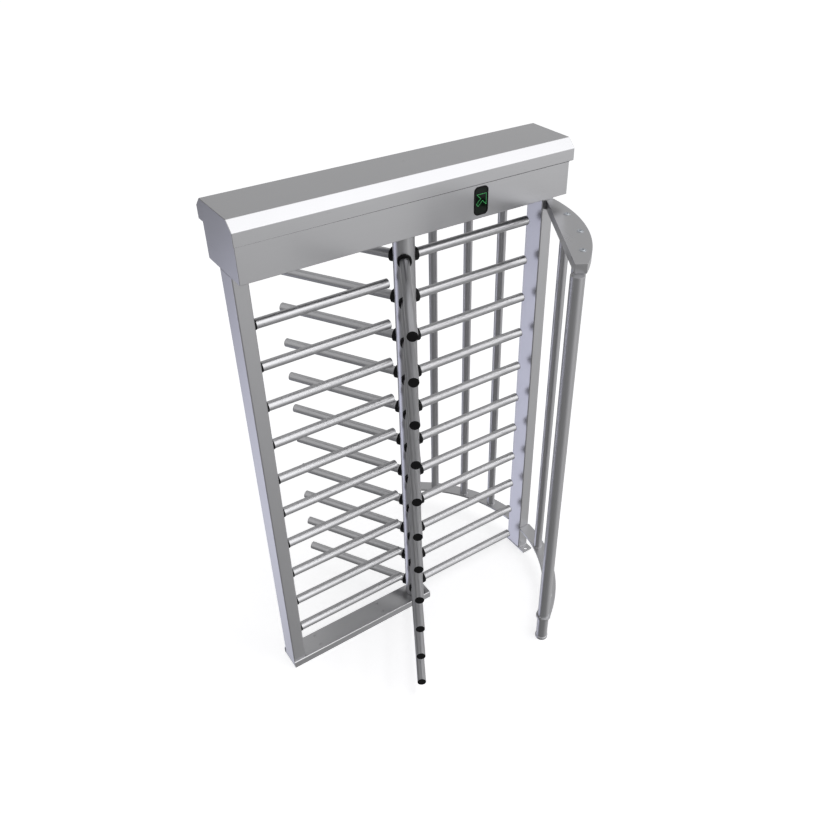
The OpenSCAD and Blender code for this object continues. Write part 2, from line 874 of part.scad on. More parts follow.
// Plate on the rails that carries the mechanism
module mechanism_plate() {
    depth = 2 * (header_front - sheet_t) - 16;
    color("gray") difference() {
        translate([-mech_half, -depth / 2, mount_z]) cube([2 * mech_half, depth, mech_t]);
        translate([0, 0, mount_z - 1]) cylinder(r = spacer_r + 2, h = mech_t + 2);
        at_plate_bolts() translate([0, 0, -1]) cylinder(r = bolt_r + hole_clear, h = mech_t + 2);
        at_housing_bolts() translate([0, 0, -mech_t - 1]) cylinder(r = bolt_r + hole_clear, h = mech_t + 2);
    }
}

// Bolts of the plate and of the bearing's housing
module mechanism_bolts() {
    color("silver") union() {
        at_plate_bolts() translate([0, 0, mech_t]) screw(bolt_r, mech_t + 3);
        at_housing_bolts() screw(bolt_r, mech_t + bearing_h - 4);
    }
}

// Housing under the plate that holds the bearing's outer ring
module bearing_housing() {
    color("dimgray") difference() {
        translate([0, 0, bearing_z - housing_lip]) cylinder(r = bearing_r + 14, h = bearing_h + housing_lip);
        translate([0, 0, bearing_z]) cylinder(r = bearing_r, h = bearing_h + 1);
        translate([0, 0, bearing_z - housing_lip - 1]) cylinder(r = bearing_r - 6, h = housing_lip + 2);
        at_housing_bolts() translate([0, 0, -mech_t - bearing_h + 2]) cylinder(r = bolt_r, h = bearing_h);
    }
}

// The section of a bearing ring between two radii, with the balls' groove
module race(r0, r1) {
    rotate_extrude() difference() {
        translate([r0, 0]) square([r1 - r0, bearing_h]);
        translate([ball_pitch, bearing_h / 2]) circle(r = ball_r + run_clear);
    }
}

// Outer ring of the bearing
module bearing_outer() {
    color("silver") translate([0, 0, bearing_z]) race(ball_pitch + race_gap, bearing_r);
}

// Inner ring of the bearing
module bearing_inner() {
    color("silver") translate([0, 0, bearing_z]) race(shaft_r, ball_pitch - race_gap);
}

// Balls of the bearing
module bearing_balls() {
    color("gainsboro") for (k = [0 : balls - 1]) rotate([0, 0, k * 360 / balls])
        translate([ball_pitch, 0, bearing_z + bearing_h / 2]) sphere(r = ball_r);
}

// Outline of a spur gear with straight flanks and free running play
module gear_outline(n, turn) {
    pitch = 360 / n;
    flank = [[-1.25, -0.29], [1, -0.11], [1, 0.11], [-1.25, 0.29]];
    polygon([for (k = [0 : n - 1], p = flank)
        let (a = turn + (k + p[1]) * pitch, r = gear_m * (n / 2 + p[0])) [r * cos(a), r * sin(a)]]);
}

// Gear on the shaft that drives the damper
module damper_gear() {
    color("darkkhaki") translate([0, 0, gear_z]) difference() {
        linear_extrude(gear_t) gear_outline(gear_n, 0);
        translate([0, 0, -1]) cylinder(r = shaft_r, h = gear_t + 2);
    }
}

// Pinion and its stub shaft, in mesh with the gear on the rotor
module damper_pinion() {
    color("darkkhaki") translate([gear_dist, 0, gear_z]) union() {
        linear_extrude(gear_t) gear_outline(pinion_n, 180 + 180 / pinion_n);
        cylinder(r = 6, h = gear_t + 18);
    }
}

// Rotary damper over the pinion, on its two-legged bracket
module damper_body() {
    z = gear_z + gear_t + 4;
    leg_y = pinion_r + 20;
    strap_t = 6;
    strap_w = 24;
    color("steelblue") difference() {
        union() {
            translate([gear_dist, 0, z]) cylinder(r = damper_r, h = 40);
            for (y = sides) translate([gear_dist - strap_w / 2, y * leg_y - strap_t, mount_top])
                cube([strap_w, 2 * strap_t, z - mount_top + strap_t]);
            translate([gear_dist - strap_w / 2, -leg_y, z]) cube([strap_w, 2 * leg_y, strap_t]);
        }
        translate([gear_dist, 0, z - 1]) cylinder(r = 6 + run_clear, h = 22);
    }
}

// Notch at the disc's rim, with a ramp on each side
module notch() {
    half = notch_w / 2;
    translate([0, disc_r, -1]) linear_extrude(disc_t + 2)
        polygon([[-half, -notch_h], [half, -notch_h], [half + notch_ramp, 1], [-half - notch_ramp, 1]]);
}

// Disc with a notch every thirty degrees, in which the pawls lock
module lock_disc() {
    color("slategray") translate([0, 0, disc_z]) difference() {
        cylinder(r = disc_r, h = disc_t);
        translate([0, 0, -1]) cylinder(r = shaft_r, h = disc_t + 2);
        for (k = [0 : notches - 1]) rotate([0, 0, k * 360 / notches]) notch();
    }
}

// Outline of a pawl: boss, bent bar and tooth, and the lever for the plunger
module pawl_outline() {
    polygon([[-pawl_len, pawl_y + pawl_boss_r], [-bar_w * 4, bar_y + bar_w], [bar_w, bar_y + bar_w],
        [bar_w, bar_y], [tooth_w / 2, bar_y], [tooth_w / 2, disc_r + pawl_gap],
        [-tooth_w / 2, disc_r + pawl_gap], [-tooth_w / 2, bar_y], [-bar_w * 4, bar_y],
        [-pawl_len, pawl_y - pawl_boss_r / 2]]);
    translate([-pawl_len, pawl_y]) circle(r = pawl_boss_r);
    translate([-pawl_len - lever_w / 2, link_y - lever_w / 2]) square([lever_w, pawl_lever]);
}

// A pawl swung clear of the disc
module pawl() {
    slot = link_r + link_clear;
    translate([0, 0, disc_z]) difference() {
        linear_extrude(disc_t) pawl_outline();
        translate([-pawl_len, pawl_y, -1]) cylinder(r = pawl_pin_r + run_clear, h = disc_t + 2);
        translate([-pawl_len - slot, link_y - 1, -1]) cube([2 * slot, 2, disc_t + 2]);
        for (y = sides) translate([-pawl_len, link_y + y, -1]) cylinder(r = slot, h = disc_t + 2);
    }
}

// Pawl that blocks the way in
module entry_pawl() {
    color("firebrick") pawl();
}

// Pawl that blocks the way out
module exit_pawl() {
    color("firebrick") mirror([0, 1, 0]) pawl();
}

// Pins of both pawls, with their sleeves and caps
module pawl_pins() {
    low = disc_z - seat_clear - mount_top;
    color("silver") front_and_rear() translate([-pawl_len, pawl_y, mount_top]) union() {
        cylinder(r = pawl_boss_r, h = low);
        cylinder(r = pawl_pin_r, h = low + disc_t + 3);
        translate([0, 0, low + disc_t + 2 * seat_clear]) cylinder(r = pawl_boss_r - 1, h = 3);
    }
}

// A plunger with its fork and link pin round the pawl's lever
module plunger() {
    half = disc_t / 2 + fork_gap;
    back = pawl_len + lever_w / 2 + web_gap + web_t;
    rod_end = solenoid_x + plunger_in;
    color("silver") translate([0, link_y, disc_mid]) difference() {
        union() {
            translate([-rod_end, 0, 0]) rotate([0, 90, 0]) cylinder(d = plunger_d, h = rod_end - back);
            translate([-back, -5, -half - fork_t]) cube([back - pawl_len + 5, 10, 2 * (half + fork_t)]);
        }
        translate([web_t - back, -6, -half]) cube([back, 12, 2 * half]);
    }
    color("silver") translate([-pawl_len, link_y, disc_mid - half - 1])
        cylinder(r = link_r, h = 2 * half + 2);
}

// Plunger of the entry lock
module entry_plunger() {
    union() plunger();
}

// Plunger of the exit lock
module exit_plunger() {
    mirror([0, 1, 0]) union() plunger();
}

// Solenoids of both locks, each a block with a bore for its plunger
module solenoids() {
    top = disc_mid + solenoid_w / 2;
    color("black") front_and_rear() difference() {
        translate([-solenoid_x - solenoid_l, link_y - solenoid_w / 2, mount_top])
            cube([solenoid_l, solenoid_w, top - mount_top]);
        translate([-solenoid_x - plunger_in - 8, link_y, disc_mid]) rotate([0, 90, 0])
            cylinder(r = plunger_d / 2 + run_clear, h = plunger_in + 10);
    }
}

// An equipment box on the rails: centre, length and height
module equipment_box(x, l, h) {
    d = 2 * rail_y - 20;
    translate([x - l / 2, -d / 2, mount_z]) difference() {
        cube([l, d, h]);
        translate([3, 3, 3]) cube([l - 6, d - 6, h - 6]);
    }
}

// Control electronics in their case
module controller_box() {
    color("dimgray") equipment_box(-bulk_x - case_gap - controller_l / 2, controller_l, controller_h);
}

// Power supply in its case
module power_supply() {
    color("silver") equipment_box(bulk_x + case_gap + supply_l / 2, supply_l, supply_h);
}

base_plate();
base_cover();
base_spacers();
left_post();
right_post();
right_foot();
post_top_blocks();
header_body();
header_cross_plates();
header_rails();
header_bulkheads();
header_lid();
lid_rail();
lid_screws();
post_bolts();
display_bezel();
display_lens();
display_arrow();
display_board();
comb_bars();
comb_collars();
guide_rings();
guide_tubes();
end_posts();
end_flanges();
guide_tops();
guide_screws();
rotor_column();
column_plug_top();
column_plug_bottom();
rotor_shaft();
arms_a();
arms_b();
arms_c();
arm_collars();
arm_caps();
pivot_pin();
thrust_washer();
pivot_bush();
pivot_screws();
mechanism_plate();
mechanism_bolts();
bearing_housing();
bearing_outer();
bearing_inner();
bearing_balls();
damper_gear();
damper_pinion();
damper_body();
lock_disc();
shaft_spacers();
shaft_nut();
entry_pawl();
exit_pawl();
pawl_pins();
entry_plunger();
exit_plunger();
solenoids();
controller_box();
power_supply();
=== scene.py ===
"""Finished looks of a full-height turnstile, made round its fixed frame and laid out as an add-on."""

import json
import math

import bmesh
import bpy
from bpy.props import FloatProperty, FloatVectorProperty, IntProperty, PointerProperty
from mathutils import Matrix, Vector


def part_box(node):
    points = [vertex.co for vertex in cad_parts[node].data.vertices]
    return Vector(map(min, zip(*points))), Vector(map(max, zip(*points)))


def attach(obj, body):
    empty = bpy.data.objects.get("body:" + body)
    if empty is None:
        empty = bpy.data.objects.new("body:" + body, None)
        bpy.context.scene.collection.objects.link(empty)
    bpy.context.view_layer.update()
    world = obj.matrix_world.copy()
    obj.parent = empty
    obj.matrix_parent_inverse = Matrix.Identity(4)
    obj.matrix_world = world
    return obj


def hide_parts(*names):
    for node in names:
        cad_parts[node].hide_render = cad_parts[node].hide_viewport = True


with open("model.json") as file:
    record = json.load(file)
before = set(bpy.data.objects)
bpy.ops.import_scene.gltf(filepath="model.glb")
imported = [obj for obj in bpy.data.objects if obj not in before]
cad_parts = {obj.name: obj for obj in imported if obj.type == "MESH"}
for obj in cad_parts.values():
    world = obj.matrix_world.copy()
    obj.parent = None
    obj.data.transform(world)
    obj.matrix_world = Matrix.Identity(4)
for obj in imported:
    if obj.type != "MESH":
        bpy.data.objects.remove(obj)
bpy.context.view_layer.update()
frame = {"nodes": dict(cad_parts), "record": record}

bl_info = {
    "name": "Full-height turnstile",
    "version": (1, 0, 0),
    "blender": (4, 5, 0),
    "location": "3D View > Sidebar > Turnstile",
    "description": "Finishes a full-height turnstile with its sheet, tubes, collars, display and stage",
    "category": "Object",
}

GRAIN = "grain"
UP = Matrix.Identity(4)
TO_RIGHT = Matrix.Rotation(math.radians(90), 4, "Y")
TO_FRONT = Matrix.Rotation(math.radians(90), 4, "X")
TO_BACK = Matrix.Rotation(math.radians(-90), 4, "X")
# Segments round a tube, the angle up to which faces shade as one, and how far a cutter overruns.
ROUND = 56
SMOOTH = math.radians(35)
OVERRUN = 0.01
# The world's strength on dull surfaces, and the glow of the floor where the camera sees it.
DULL_LIGHT = 0.53
FLOOR_GLOW = 0.62
# Cards that metal reflects: azimuth, elevation and reach in degrees, then strength and colour.
CARDS = (
    (-52, 38, 60, 1.75), (-152, -47, 74, -0.63), (133, -34, 25, 1.6, "#E4E6FF"), (108, -5, 42, -0.5),
    (56, -19, 119, -0.28))


def linear(code):
    """Linear colour of an sRGB hex code."""
    made = []
    for k in (1, 3, 5):
        c = int(code[k:k + 2], 16) / 255
        made.append(c / 12.92 if c <= 0.04045 else ((c + 0.055) / 1.055) ** 2.4)
    return (*made, 1.0)


def size(name, description, millimetres):
    """A length that a user can change, shown in the scene's unit."""
    return FloatProperty(name=name, description=description, default=millimetres / 1000, min=0.0,
                         unit="LENGTH", precision=4)


def turn(name, description, degrees):
    """An angle that a user can change."""
    return FloatProperty(name=name, description=description, default=math.radians(degrees),
                         unit="ROTATION", subtype="ANGLE")


def colour(name, description, code):
    """A colour that a user can change, from its sRGB hex code."""
    return FloatVectorProperty(name=name, description=description, default=linear(code), size=4,
                               min=0.0, max=1.0, subtype="COLOR")


class TurnstileSizes(bpy.types.PropertyGroup):
    """Sizes of the finished pieces that the frame's boxes don't give."""

    sheet_t: size("Header sheet", "Thickness of the header's and the lid's sheet", 2)
    cover_t: size("Base sheet", "Thickness of the base cover's sheet", 3)
    fold_r: size("Fold", "Outer radius of a fold in the header's sheet", 2.5)
    slope_w: size("Slope width", "Width of the lid's sloped edge", 37)
    slope_h: size("Slope height", "Height of the lid's sloped edge", 35)
    # The next two sizes are of a thin black strip that paints the shadow in the seam between the lid and the
    # body.
    seam_shadow_h: size("Seal lip", "Height of the seal's lip under the lid", 0.2)
    seam_shadow_out: size("Seal reach", "How far the seal's lip stands out of the header's front", 0.2)
    cable_r: size("Cable hole", "Radius of the cable holes in the header's floor", 15)
    window_edge: size("Window edge", "Distance from the bezel's edge to the header's window", 3)
    display_r: size("Display corner", "Corner radius of the display", 18)
    bezel_edge: size("Bezel edge", "Rounding of the bezel's outer edge", 1.2)
    lip_edge: size("Bezel lip", "Rounding of the bezel's edge round the lens", 0.8)
    lens_edge: size("Lens edge", "Slope along the lens's edge", 0.3)
    stroke: size("Arrow stroke", "Width of the lit arrow's line", 3)
    diode_r: size("Diode", "Radius of a light in the display", 1.1)
    diode_pitch: size("Diode pitch", "Distance between two lights in the display", 3.2)
    post_r: size("Post corner", "Outer corner radius of a post", 5)
    post_t: size("Post wall", "Wall of a post", 3)
    plate_edge: size("Plate edge", "Rounding of a plate's edges", 1.5)
    spacer_r: size("Spacer radius", "Radius of the spacers round the anchor bolts", 12.5)
    cover_fold_r: size("Base fold", "Outer radius of a fold in the base cover", 5)
    anchor_r: size("Anchor hole", "Radius of an anchor hole in the base cover", 6.5)
    plug_gap: size("Plug gap", "Gap round the plug in an anchor hole", 0.8)
    pivot_in: size("Pivot hole inset", "Distance from the column's outside to the hole under it", 10)
    foot_r: size("Foot corner", "Corner radius of the right post's foot", 3)
    foot_hole_r: size("Foot hole", "Radius of a hole in the right post's foot", 9)
    foot_hole_in: size("Foot hole inset", "Distance from the foot's end to its hole", 18)
    rim: size("Tube rim", "Rounding of a tube's cut rim", 0.7)
    arm_rim: size("Arm rim", "Rounding of an arm's rim under its cap", 0.5)
    bar_edge: size("Bar end", "Rounding of a comb bar's closed end", 1.8)
    comb_edge: size("Comb collar edge", "Rounding of a comb collar's outer edge", 0.8)
    tube_t: size("Tube wall", "Wall of the arms, the bars and the guide tubes", 2)
    column_t: size("Column wall", "Wall of the rotor's column", 4)
    end_t: size("End post wall", "Wall of the guide's end posts", 2.5)
    arm_r: size("Arm radius", "Radius of the arms and the comb bars", 20)
    bore_gap: size("Bore clearance", "Clearance round a tube in its bore", 0.1)
    collar_edge: size("Collar edge", "Rounding of an arm's collar", 2)
    guide_tube_r: size("Guide tube radius", "Radius of the guide's upright tubes", 21)
    guide_r: size("Guide circle", "Radius of the circle that the guide tubes stand on", 689.5)
    end_post_r: size("End post radius", "Radius of the guide's end posts", 27.5)
    end_r: size("End circle", "Radius of the circle that the end posts stand on", 695.5)
    ring_r: size("Ring radius", "Outer radius of the guide's lower rings", 729)
    ring_w: size("Ring width", "Width of the guide's lower rings", 67)
    ring_boss: size("Ring boss", "How far the ring's round end stands past its edges", 2)
    top_r: size("Top radius", "Outer radius of the guide's top segments", 725)
    top_w: size("Top width", "Width of a top segment at its middle", 113)
    top_short: size("Top end", "How far a top segment stops short of its end post's axis", 8)
    screw_r: size("Screw radius", "Radius of a screw's shank", 3)
    washer_r: size("Washer radius", "Outer radius of a washer on a top segment", 15)
    washer_t: size("Washer", "Thickness of a washer on a top segment", 1.2)
    bead_r: size("Weld bead", "Radius of a weld bead", 2.0)
    bead_pitch: size("Weld ripple", "Distance between the ripples of a weld bead", 2.4)
    rows: IntProperty(name="Arm rows", description="Number of rows of arms", default=11, min=2)
    wings: IntProperty(name="Wings", description="Number of wings of the rotor", default=3, min=2)
    guides: IntProperty(name="Guide tubes", description="Upright tubes on each side of the guide",
                        default=3, min=1)
    guide_first: turn("First guide tube", "Angle of the first guide tube from the post", 17.5)
    guide_step: turn("Guide step", "Angle between two guide tubes", 14.5)
    guide_end: turn("Guide end", "Angle of an end post", 57.4)
    top_turn: turn("Top segment", "Angle of a top segment's middle", 31)


class TurnstileColours(bpy.types.PropertyGroup):
    """Colours of the finishes."""

    steel: colour("Stainless steel", "Satin stainless steel of sheet and tubes", "#A5A5A7")
    nylon: colour("Black nylon", "Moulded nylon of the collars, the caps and the bezel", "#0E0E0F")
    zinc: colour("Zinc", "Zinc plating on the steel inside", "#8F9294")
    bright_zinc: colour("Bright zinc", "Bluish zinc plating on screws", "#A4A8AD")
    acrylic: colour("Tinted acrylic", "Dark acrylic of the display's lens", "#030604")
    diode_off: colour("Unlit diodes", "Unlit lights behind the lens", "#0B2614")
    diode_on: colour("Lit diodes", "Lit lights of the arrow", "#3FA45C")
    mask: colour("Solder mask", "Solder mask of the circuit board", "#14512B")
    copper: colour("Copper", "Bare copper of the circuit board", "#B3713F")
    turned: colour("Turned steel", "Bare turned and milled steel", "#85868A")
    ground: colour("Ground steel", "Hardened and ground bearing steel", "#BDBEC1")
    iron: colour("Cast iron", "Cast iron of the housings", "#3C3E41")
    bronze: colour("Bronze", "Turned bearing bronze", "#9C7443")
    lacquer: colour("Black lacquer", "Lacquer on the solenoids", "#101113")
    powder: colour("Powder coat", "Powder coat on the electronics' cases", "#5C5F62")
    floor: colour("Floor", "Pale studio floor", "#E6E6E8")


def sizes():
    """The sizes of this scene's turnstile."""
    return bpy.context.scene.turnstile_sizes


def colours():
    """The colours of this scene's turnstile."""
    return bpy.context.scene.turnstile_colours


def add_node(tree, kind, inputs=(), **settings):
    """Adds a node, sets its properties, and fills or links its inputs."""
    made = tree.nodes.new(kind)
    for name, value in settings.items():
        setattr(made, name, value)
    for name, value in dict(inputs).items():
        if isinstance(value, bpy.types.NodeSocket):
            tree.links.new(value, made.inputs[name])
        else:
            made.inputs[name].default_value = value
    return made


def coat(name, shade, pattern, tint=(1.0, 1.0), gloss=None, relief=0.0, **values):
    """A material whose patterns scale its colour, set its roughness and raise its surface.
    Pattern is a function that adds the patterns for tint, gloss and relief, each from 0.3 to 0.7."""
    material = bpy.data.materials.new(name)
    material.use_nodes = True
    tree = material.node_tree
    tree.nodes.clear()
    shader = add_node(tree, "ShaderNodeBsdfPrincipled", {"Base Color": shade, **values})
    add_node(tree, "ShaderNodeOutputMaterial", {"Surface": shader.outputs["BSDF"]})
    tinting, dulling, raising = pattern(tree)
    share = add_node(tree, "ShaderNodeMapRange", {
        "Value": tinting, "From Min": 0.3, "From Max": 0.7, "To Min": tint[0], "To Max": tint[1]})
    paint = add_node(tree, "ShaderNodeVectorMath", {
        0: shade[:3], "Scale": share.outputs["Result"]}, operation="SCALE")
    tree.links.new(paint.outputs["Vector"], shader.inputs["Base Color"])
    if gloss:
        rough = add_node(tree, "ShaderNodeMapRange", {
            "Value": dulling, "From Min": 0.3, "From Max": 0.7, "To Min": gloss[0], "To Max": gloss[1]})
        tree.links.new(rough.outputs["Result"], shader.inputs["Roughness"])
    if relief:
        bump = add_node(tree, "ShaderNodeBump", {"Height": raising, "Strength": 1.0, "Distance": relief})
        tree.links.new(bump.outputs["Normal"], shader.inputs["Normal"])
    return material, tree, shader


def along_grain(streak, pitch):
    """Pattern of streaks along the grain, of one length and spacing, under wide hand smudges."""
    def pattern(tree):
        run = add_node(tree, "ShaderNodeUVMap", uv_map=GRAIN)
        place = add_node(tree, "ShaderNodeMapping", {
            "Vector": run.outputs["UV"], "Scale": (1 / streak, 1 / pitch, 1.0)})
        lines = add_node(tree, "ShaderNodeTexNoise", {
            "Vector": place.outputs["Vector"], "Scale": 1.0, "Detail": 3.0, "Roughness": 0.65})
        spots = add_node(tree, "ShaderNodeTexCoord")
        cloud = add_node(tree, "ShaderNodeTexNoise", {
            "Vector": spots.outputs["Object"], "Scale": 7.0, "Detail": 4.0, "Roughness": 0.55})
        both = add_node(tree, "ShaderNodeMath", {
            0: lines.outputs["Fac"], 1: cloud.outputs["Fac"]}, operation="ADD")
        mean = add_node(tree, "ShaderNodeMath", {0: both.outputs["Value"], 1: 0.5}, operation="MULTIPLY")
        return lines.outputs["Fac"], mean.outputs["Value"], lines.outputs["Fac"]
    return pattern


def lumps(wide, fine):
    """Pattern of soft patches of one width, over lumps of another, in metres."""
    def pattern(tree):
        spots = add_node(tree, "ShaderNodeTexCoord")
        patches = add_node(tree, "ShaderNodeTexNoise", {
            "Vector": spots.outputs["Object"], "Scale": 1 / wide, "Detail": 4.0})
        grit = add_node(tree, "ShaderNodeTexNoise", {
            "Vector": spots.outputs["Object"], "Scale": 1 / fine, "Detail": 2.0})
        return patches.outputs["Fac"], patches.outputs["Fac"], grit.outputs["Fac"]
    return pattern


def lathe_rings(width):
    """Pattern of rings round the upright axis, each as wide as the gap beside it, over wide stains."""
    def pattern(tree):
        spots = add_node(tree, "ShaderNodeTexCoord")
        rings = add_node(tree, "ShaderNodeTexWave", {
            "Vector": spots.outputs["Object"], "Scale": 0.16 / width, "Distortion": 0.6, "Detail": 2.0},
            wave_type="RINGS", rings_direction="Z")
        stain = add_node(tree, "ShaderNodeTexNoise", {
            "Vector": spots.outputs["Object"], "Scale": 60.0, "Detail": 4.0})
        return stain.outputs["Fac"], stain.outputs["Fac"], rings.outputs["Fac"]
    return pattern


def brushed_stainless_sheet():
    """Stainless sheet, brushed along its length: long faint streaks in an even grey sheen.
    The real grit lines are 0.2 mm apart, and are drawn 2 mm apart so that they show."""
    return coat("brushed_stainless_sheet", colours().steel, along_grain(0.16, 0.002),
                tint=(0.985, 1.01), gloss=(0.27, 0.33), relief=0.000005, Metallic=1.0, Roughness=0.3)[0]


def satin_stainless_tube():
    """Stainless tube, belt polished along its length: a broad bright band with soft sides.
    The real polishing lines are 0.1 mm apart, and are drawn 1.5 mm apart so that they show."""
    return coat("satin_stainless_tube", colours().steel, along_grain(0.08, 0.0015),
                tint=(0.985, 1.01), gloss=(0.33, 0.38), relief=0.000004, Metallic=1.0, Roughness=0.35)[0]


def dipped_zinc_plate():
    """Steel plate, dipped in zinc: dull grey with flower-like patches 9 mm wide."""
    def flowers(tree):
        spots = add_node(tree, "ShaderNodeTexCoord")
        cells = add_node(tree, "ShaderNodeTexVoronoi", {
            "Vector": spots.outputs["Object"], "Scale": 110.0})
        patch = add_node(tree, "ShaderNodeSeparateColor", {"Color": cells.outputs["Color"]})
        dust = add_node(tree, "ShaderNodeTexNoise", {"Vector": spots.outputs["Object"], "Scale": 500.0})
        return patch.outputs["Red"], patch.outputs["Green"], dust.outputs["Fac"]
    return coat("dipped_zinc_plate", colours().zinc, flowers, tint=(0.88, 1.06), gloss=(0.4, 0.52),
                relief=0.00005, Metallic=0.85, Roughness=0.45)[0]


def bright_zinc_screw():
    """Screws, zinc plated bright in a bath: a bluish shine with small dull spots."""
    return coat("bright_zinc_screw", colours().bright_zinc, lumps(0.0015, 0.0008), tint=(1.05, 0.9),
                gloss=(0.18, 0.4), relief=0.00001, Metallic=1.0, Roughness=0.25)[0]


def moulded_black_nylon():
    """Black nylon, injection moulded in a spark-eroded mould: a soft sheen over a fine 0.8 mm grain."""
    return coat("moulded_black_nylon", colours().nylon, lumps(0.03, 0.0008), tint=(0.7, 1.6),
                gloss=(0.52, 0.66), relief=0.00003, Roughness=0.6, IOR=1.53,
                **{"Specular IOR Level": 0.1})[0]


def tinted_acrylic():
    """Acrylic sheet, cast and flame polished: a glossy black with unlit diodes in rows 3.2 mm apart."""
    def haze(tree):
        spots = add_node(tree, "ShaderNodeTexCoord")
        soft = add_node(tree, "ShaderNodeTexNoise", {
            "Vector": spots.outputs["Object"], "Scale": 40.0, "Detail": 3.0})
        return soft.outputs["Fac"], soft.outputs["Fac"], soft.outputs["Fac"]
    material, tree, shader = coat("tinted_acrylic", colours().acrylic, haze, gloss=(0.05, 0.16),
                                  Roughness=0.08, IOR=1.49, **{"Specular IOR Level": 0.15})
    spots = add_node(tree, "ShaderNodeTexCoord")
    per_metre = 1 / sizes().diode_pitch
    flat = add_node(tree, "ShaderNodeMapping", {
        "Vector": spots.outputs["Object"], "Scale": (per_metre, 0.0, per_metre)})
    grid = add_node(tree, "ShaderNodeTexVoronoi", {
        "Vector": flat.outputs["Vector"], "Scale": 1.0, "Randomness": 0.0})
    dot = add_node(tree, "ShaderNodeMapRange", {
        "Value": grid.outputs["Distance"], "From Min": 0.2, "From Max": 0.42, "To Min": 1.0, "To Max": 0.0})
    paint = add_node(tree, "ShaderNodeMix", {
        0: dot.outputs["Result"], 6: colours().acrylic, 7: colours().diode_off}, data_type="RGBA")
    tree.links.new(paint.outputs[2], shader.inputs["Base Color"])
    return material


def lit_diode():
    """Epoxy diodes, cast and lit from within: small green points, brighter in their middles."""
    material, tree, shader = coat("lit_diode", colours().diode_on, lumps(0.002, 0.001),
                                  tint=(0.7, 1.25), Roughness=0.3, IOR=1.5)
    tree.links.new(shader.inputs["Base Color"].links[0].from_socket, shader.inputs["Emission Color"])
    shader.inputs["Emission Strength"].default_value = 0.9
    return material


def solder_masked_board():
    """Glass-fibre board, coated with green solder mask: a glossy green with copper pads 4 mm apart."""
    material, tree, shader = coat("solder_masked_board", colours().mask, lumps(0.01, 0.001),
                                  gloss=(0.25, 0.4), relief=0.00002)
    spots = add_node(tree, "ShaderNodeTexCoord")
    pads = add_node(tree, "ShaderNodeTexVoronoi", {
        "Vector": spots.outputs["Object"], "Scale": 250.0, "Randomness": 0.3})
    pad = add_node(tree, "ShaderNodeMapRange", {
        "Value": pads.outputs["Distance"], "From Min": 0.15, "From Max": 0.25, "To Min": 1.0, "To Max": 0.0})
    paint = add_node(tree, "ShaderNodeMix", {
        0: pad.outputs["Result"], 6: colours().mask, 7: colours().copper}, data_type="RGBA")
    tree.links.new(paint.outputs[2], shader.inputs["Base Color"])
    tree.links.new(pad.outputs["Result"], shader.inputs["Metallic"])
    return material


def turned_steel():
    """Carbon steel, turned and lightly oiled: grey with rings.
    The real tool marks are 0.2 mm apart, and are drawn 2 mm apart so that they show."""
    return coat("turned_steel", colours().turned, lathe_rings(0.001), tint=(1.05, 0.88),
                gloss=(0.28, 0.42), relief=0.00003, Metallic=1.0, Roughness=0.35)[0]


def ground_bearing_steel():
    """Bearing steel, hardened and ground: the brightest metal, nearly a mirror."""
    return coat("ground_bearing_steel", colours().ground, lathe_rings(0.0006), tint=(1.04, 0.95),
                gloss=(0.1, 0.18), relief=0.000005, Metallic=1.0, Roughness=0.14)[0]


def turned_bronze():
    """Bearing bronze, turned: warm yellow with fine rings."""
    return coat("turned_bronze", colours().bronze, lathe_rings(0.001), tint=(1.05, 0.85),
                gloss=(0.3, 0.42), relief=0.00003, Metallic=1.0, Roughness=0.35)[0]


def cast_iron():
    """Grey iron, sand cast: dark and rough, with the sand's 1.5 mm lumps."""
    return coat("cast_iron", colours().iron, lumps(0.02, 0.0015), tint=(0.8, 1.2),
                gloss=(0.55, 0.75), relief=0.00025, Metallic=0.6, Roughness=0.65)[0]


def black_lacquer():
    """Lacquer, sprayed and baked: glossy black with faint waves 3 mm wide."""
    return coat("black_lacquer", colours().lacquer, lumps(0.02, 0.003), tint=(0.8, 1.3),
                gloss=(0.22, 0.32), relief=0.00004, Roughness=0.27)[0]


def powder_coat():
    """Polyester powder, baked: an even grey with orange peel 2 mm wide."""
    return coat("powder_coat", colours().powder, lumps(0.05, 0.002), tint=(0.93, 1.07),
                gloss=(0.42, 0.55), relief=0.00006, Roughness=0.48)[0]


FINISHES = {
    "stainless_sheet": brushed_stainless_sheet,
    "stainless_tube": satin_stainless_tube,
    "galvanised_steel": dipped_zinc_plate,
    "zinc_fasteners": bright_zinc_screw,
    "black_plastic": moulded_black_nylon,
    "display_lens": tinted_acrylic,
    "display_light": lit_diode,
    "circuit_board": solder_masked_board,
    "machined_steel": turned_steel,
    "bearing_steel": ground_bearing_steel,
    "cast_housing": cast_iron,
    "bronze": turned_bronze,
    "solenoid_case": black_lacquer,
    "electronics_case": powder_coat,
}


def finish(slot):
    """The material of one of the record's slots, made once."""
    make = FINISHES[slot]
    return bpy.data.materials.get(make.__name__) or make()


def rounded(corners, radii, steps=4):
    """A closed outline with its corners rounded, by one radius or by one for each corner."""
    points = [Vector(c) for c in corners]
    if not hasattr(radii, "__len__"):
        radii = [radii] * len(points)
    made = []
    for k, (corner, radius) in enumerate(zip(points, radii)):
        if radius <= 0:
            made.append(corner)
            continue
        back = (points[k - 1] - corner).normalized()
        ahead = (points[(k + 1) % len(points)] - corner).normalized()
        half = back.angle(ahead) / 2
        centre = corner + (back + ahead).normalized() * (radius / math.sin(half))
        start = corner + back * (radius / math.tan(half)) - centre
        sweep = start.angle_signed(corner + ahead * (radius / math.tan(half)) - centre)
        for step in range(steps + 1):
            made.append(centre + Matrix.Rotation(-sweep * step / steps, 2) @ start)
    return made


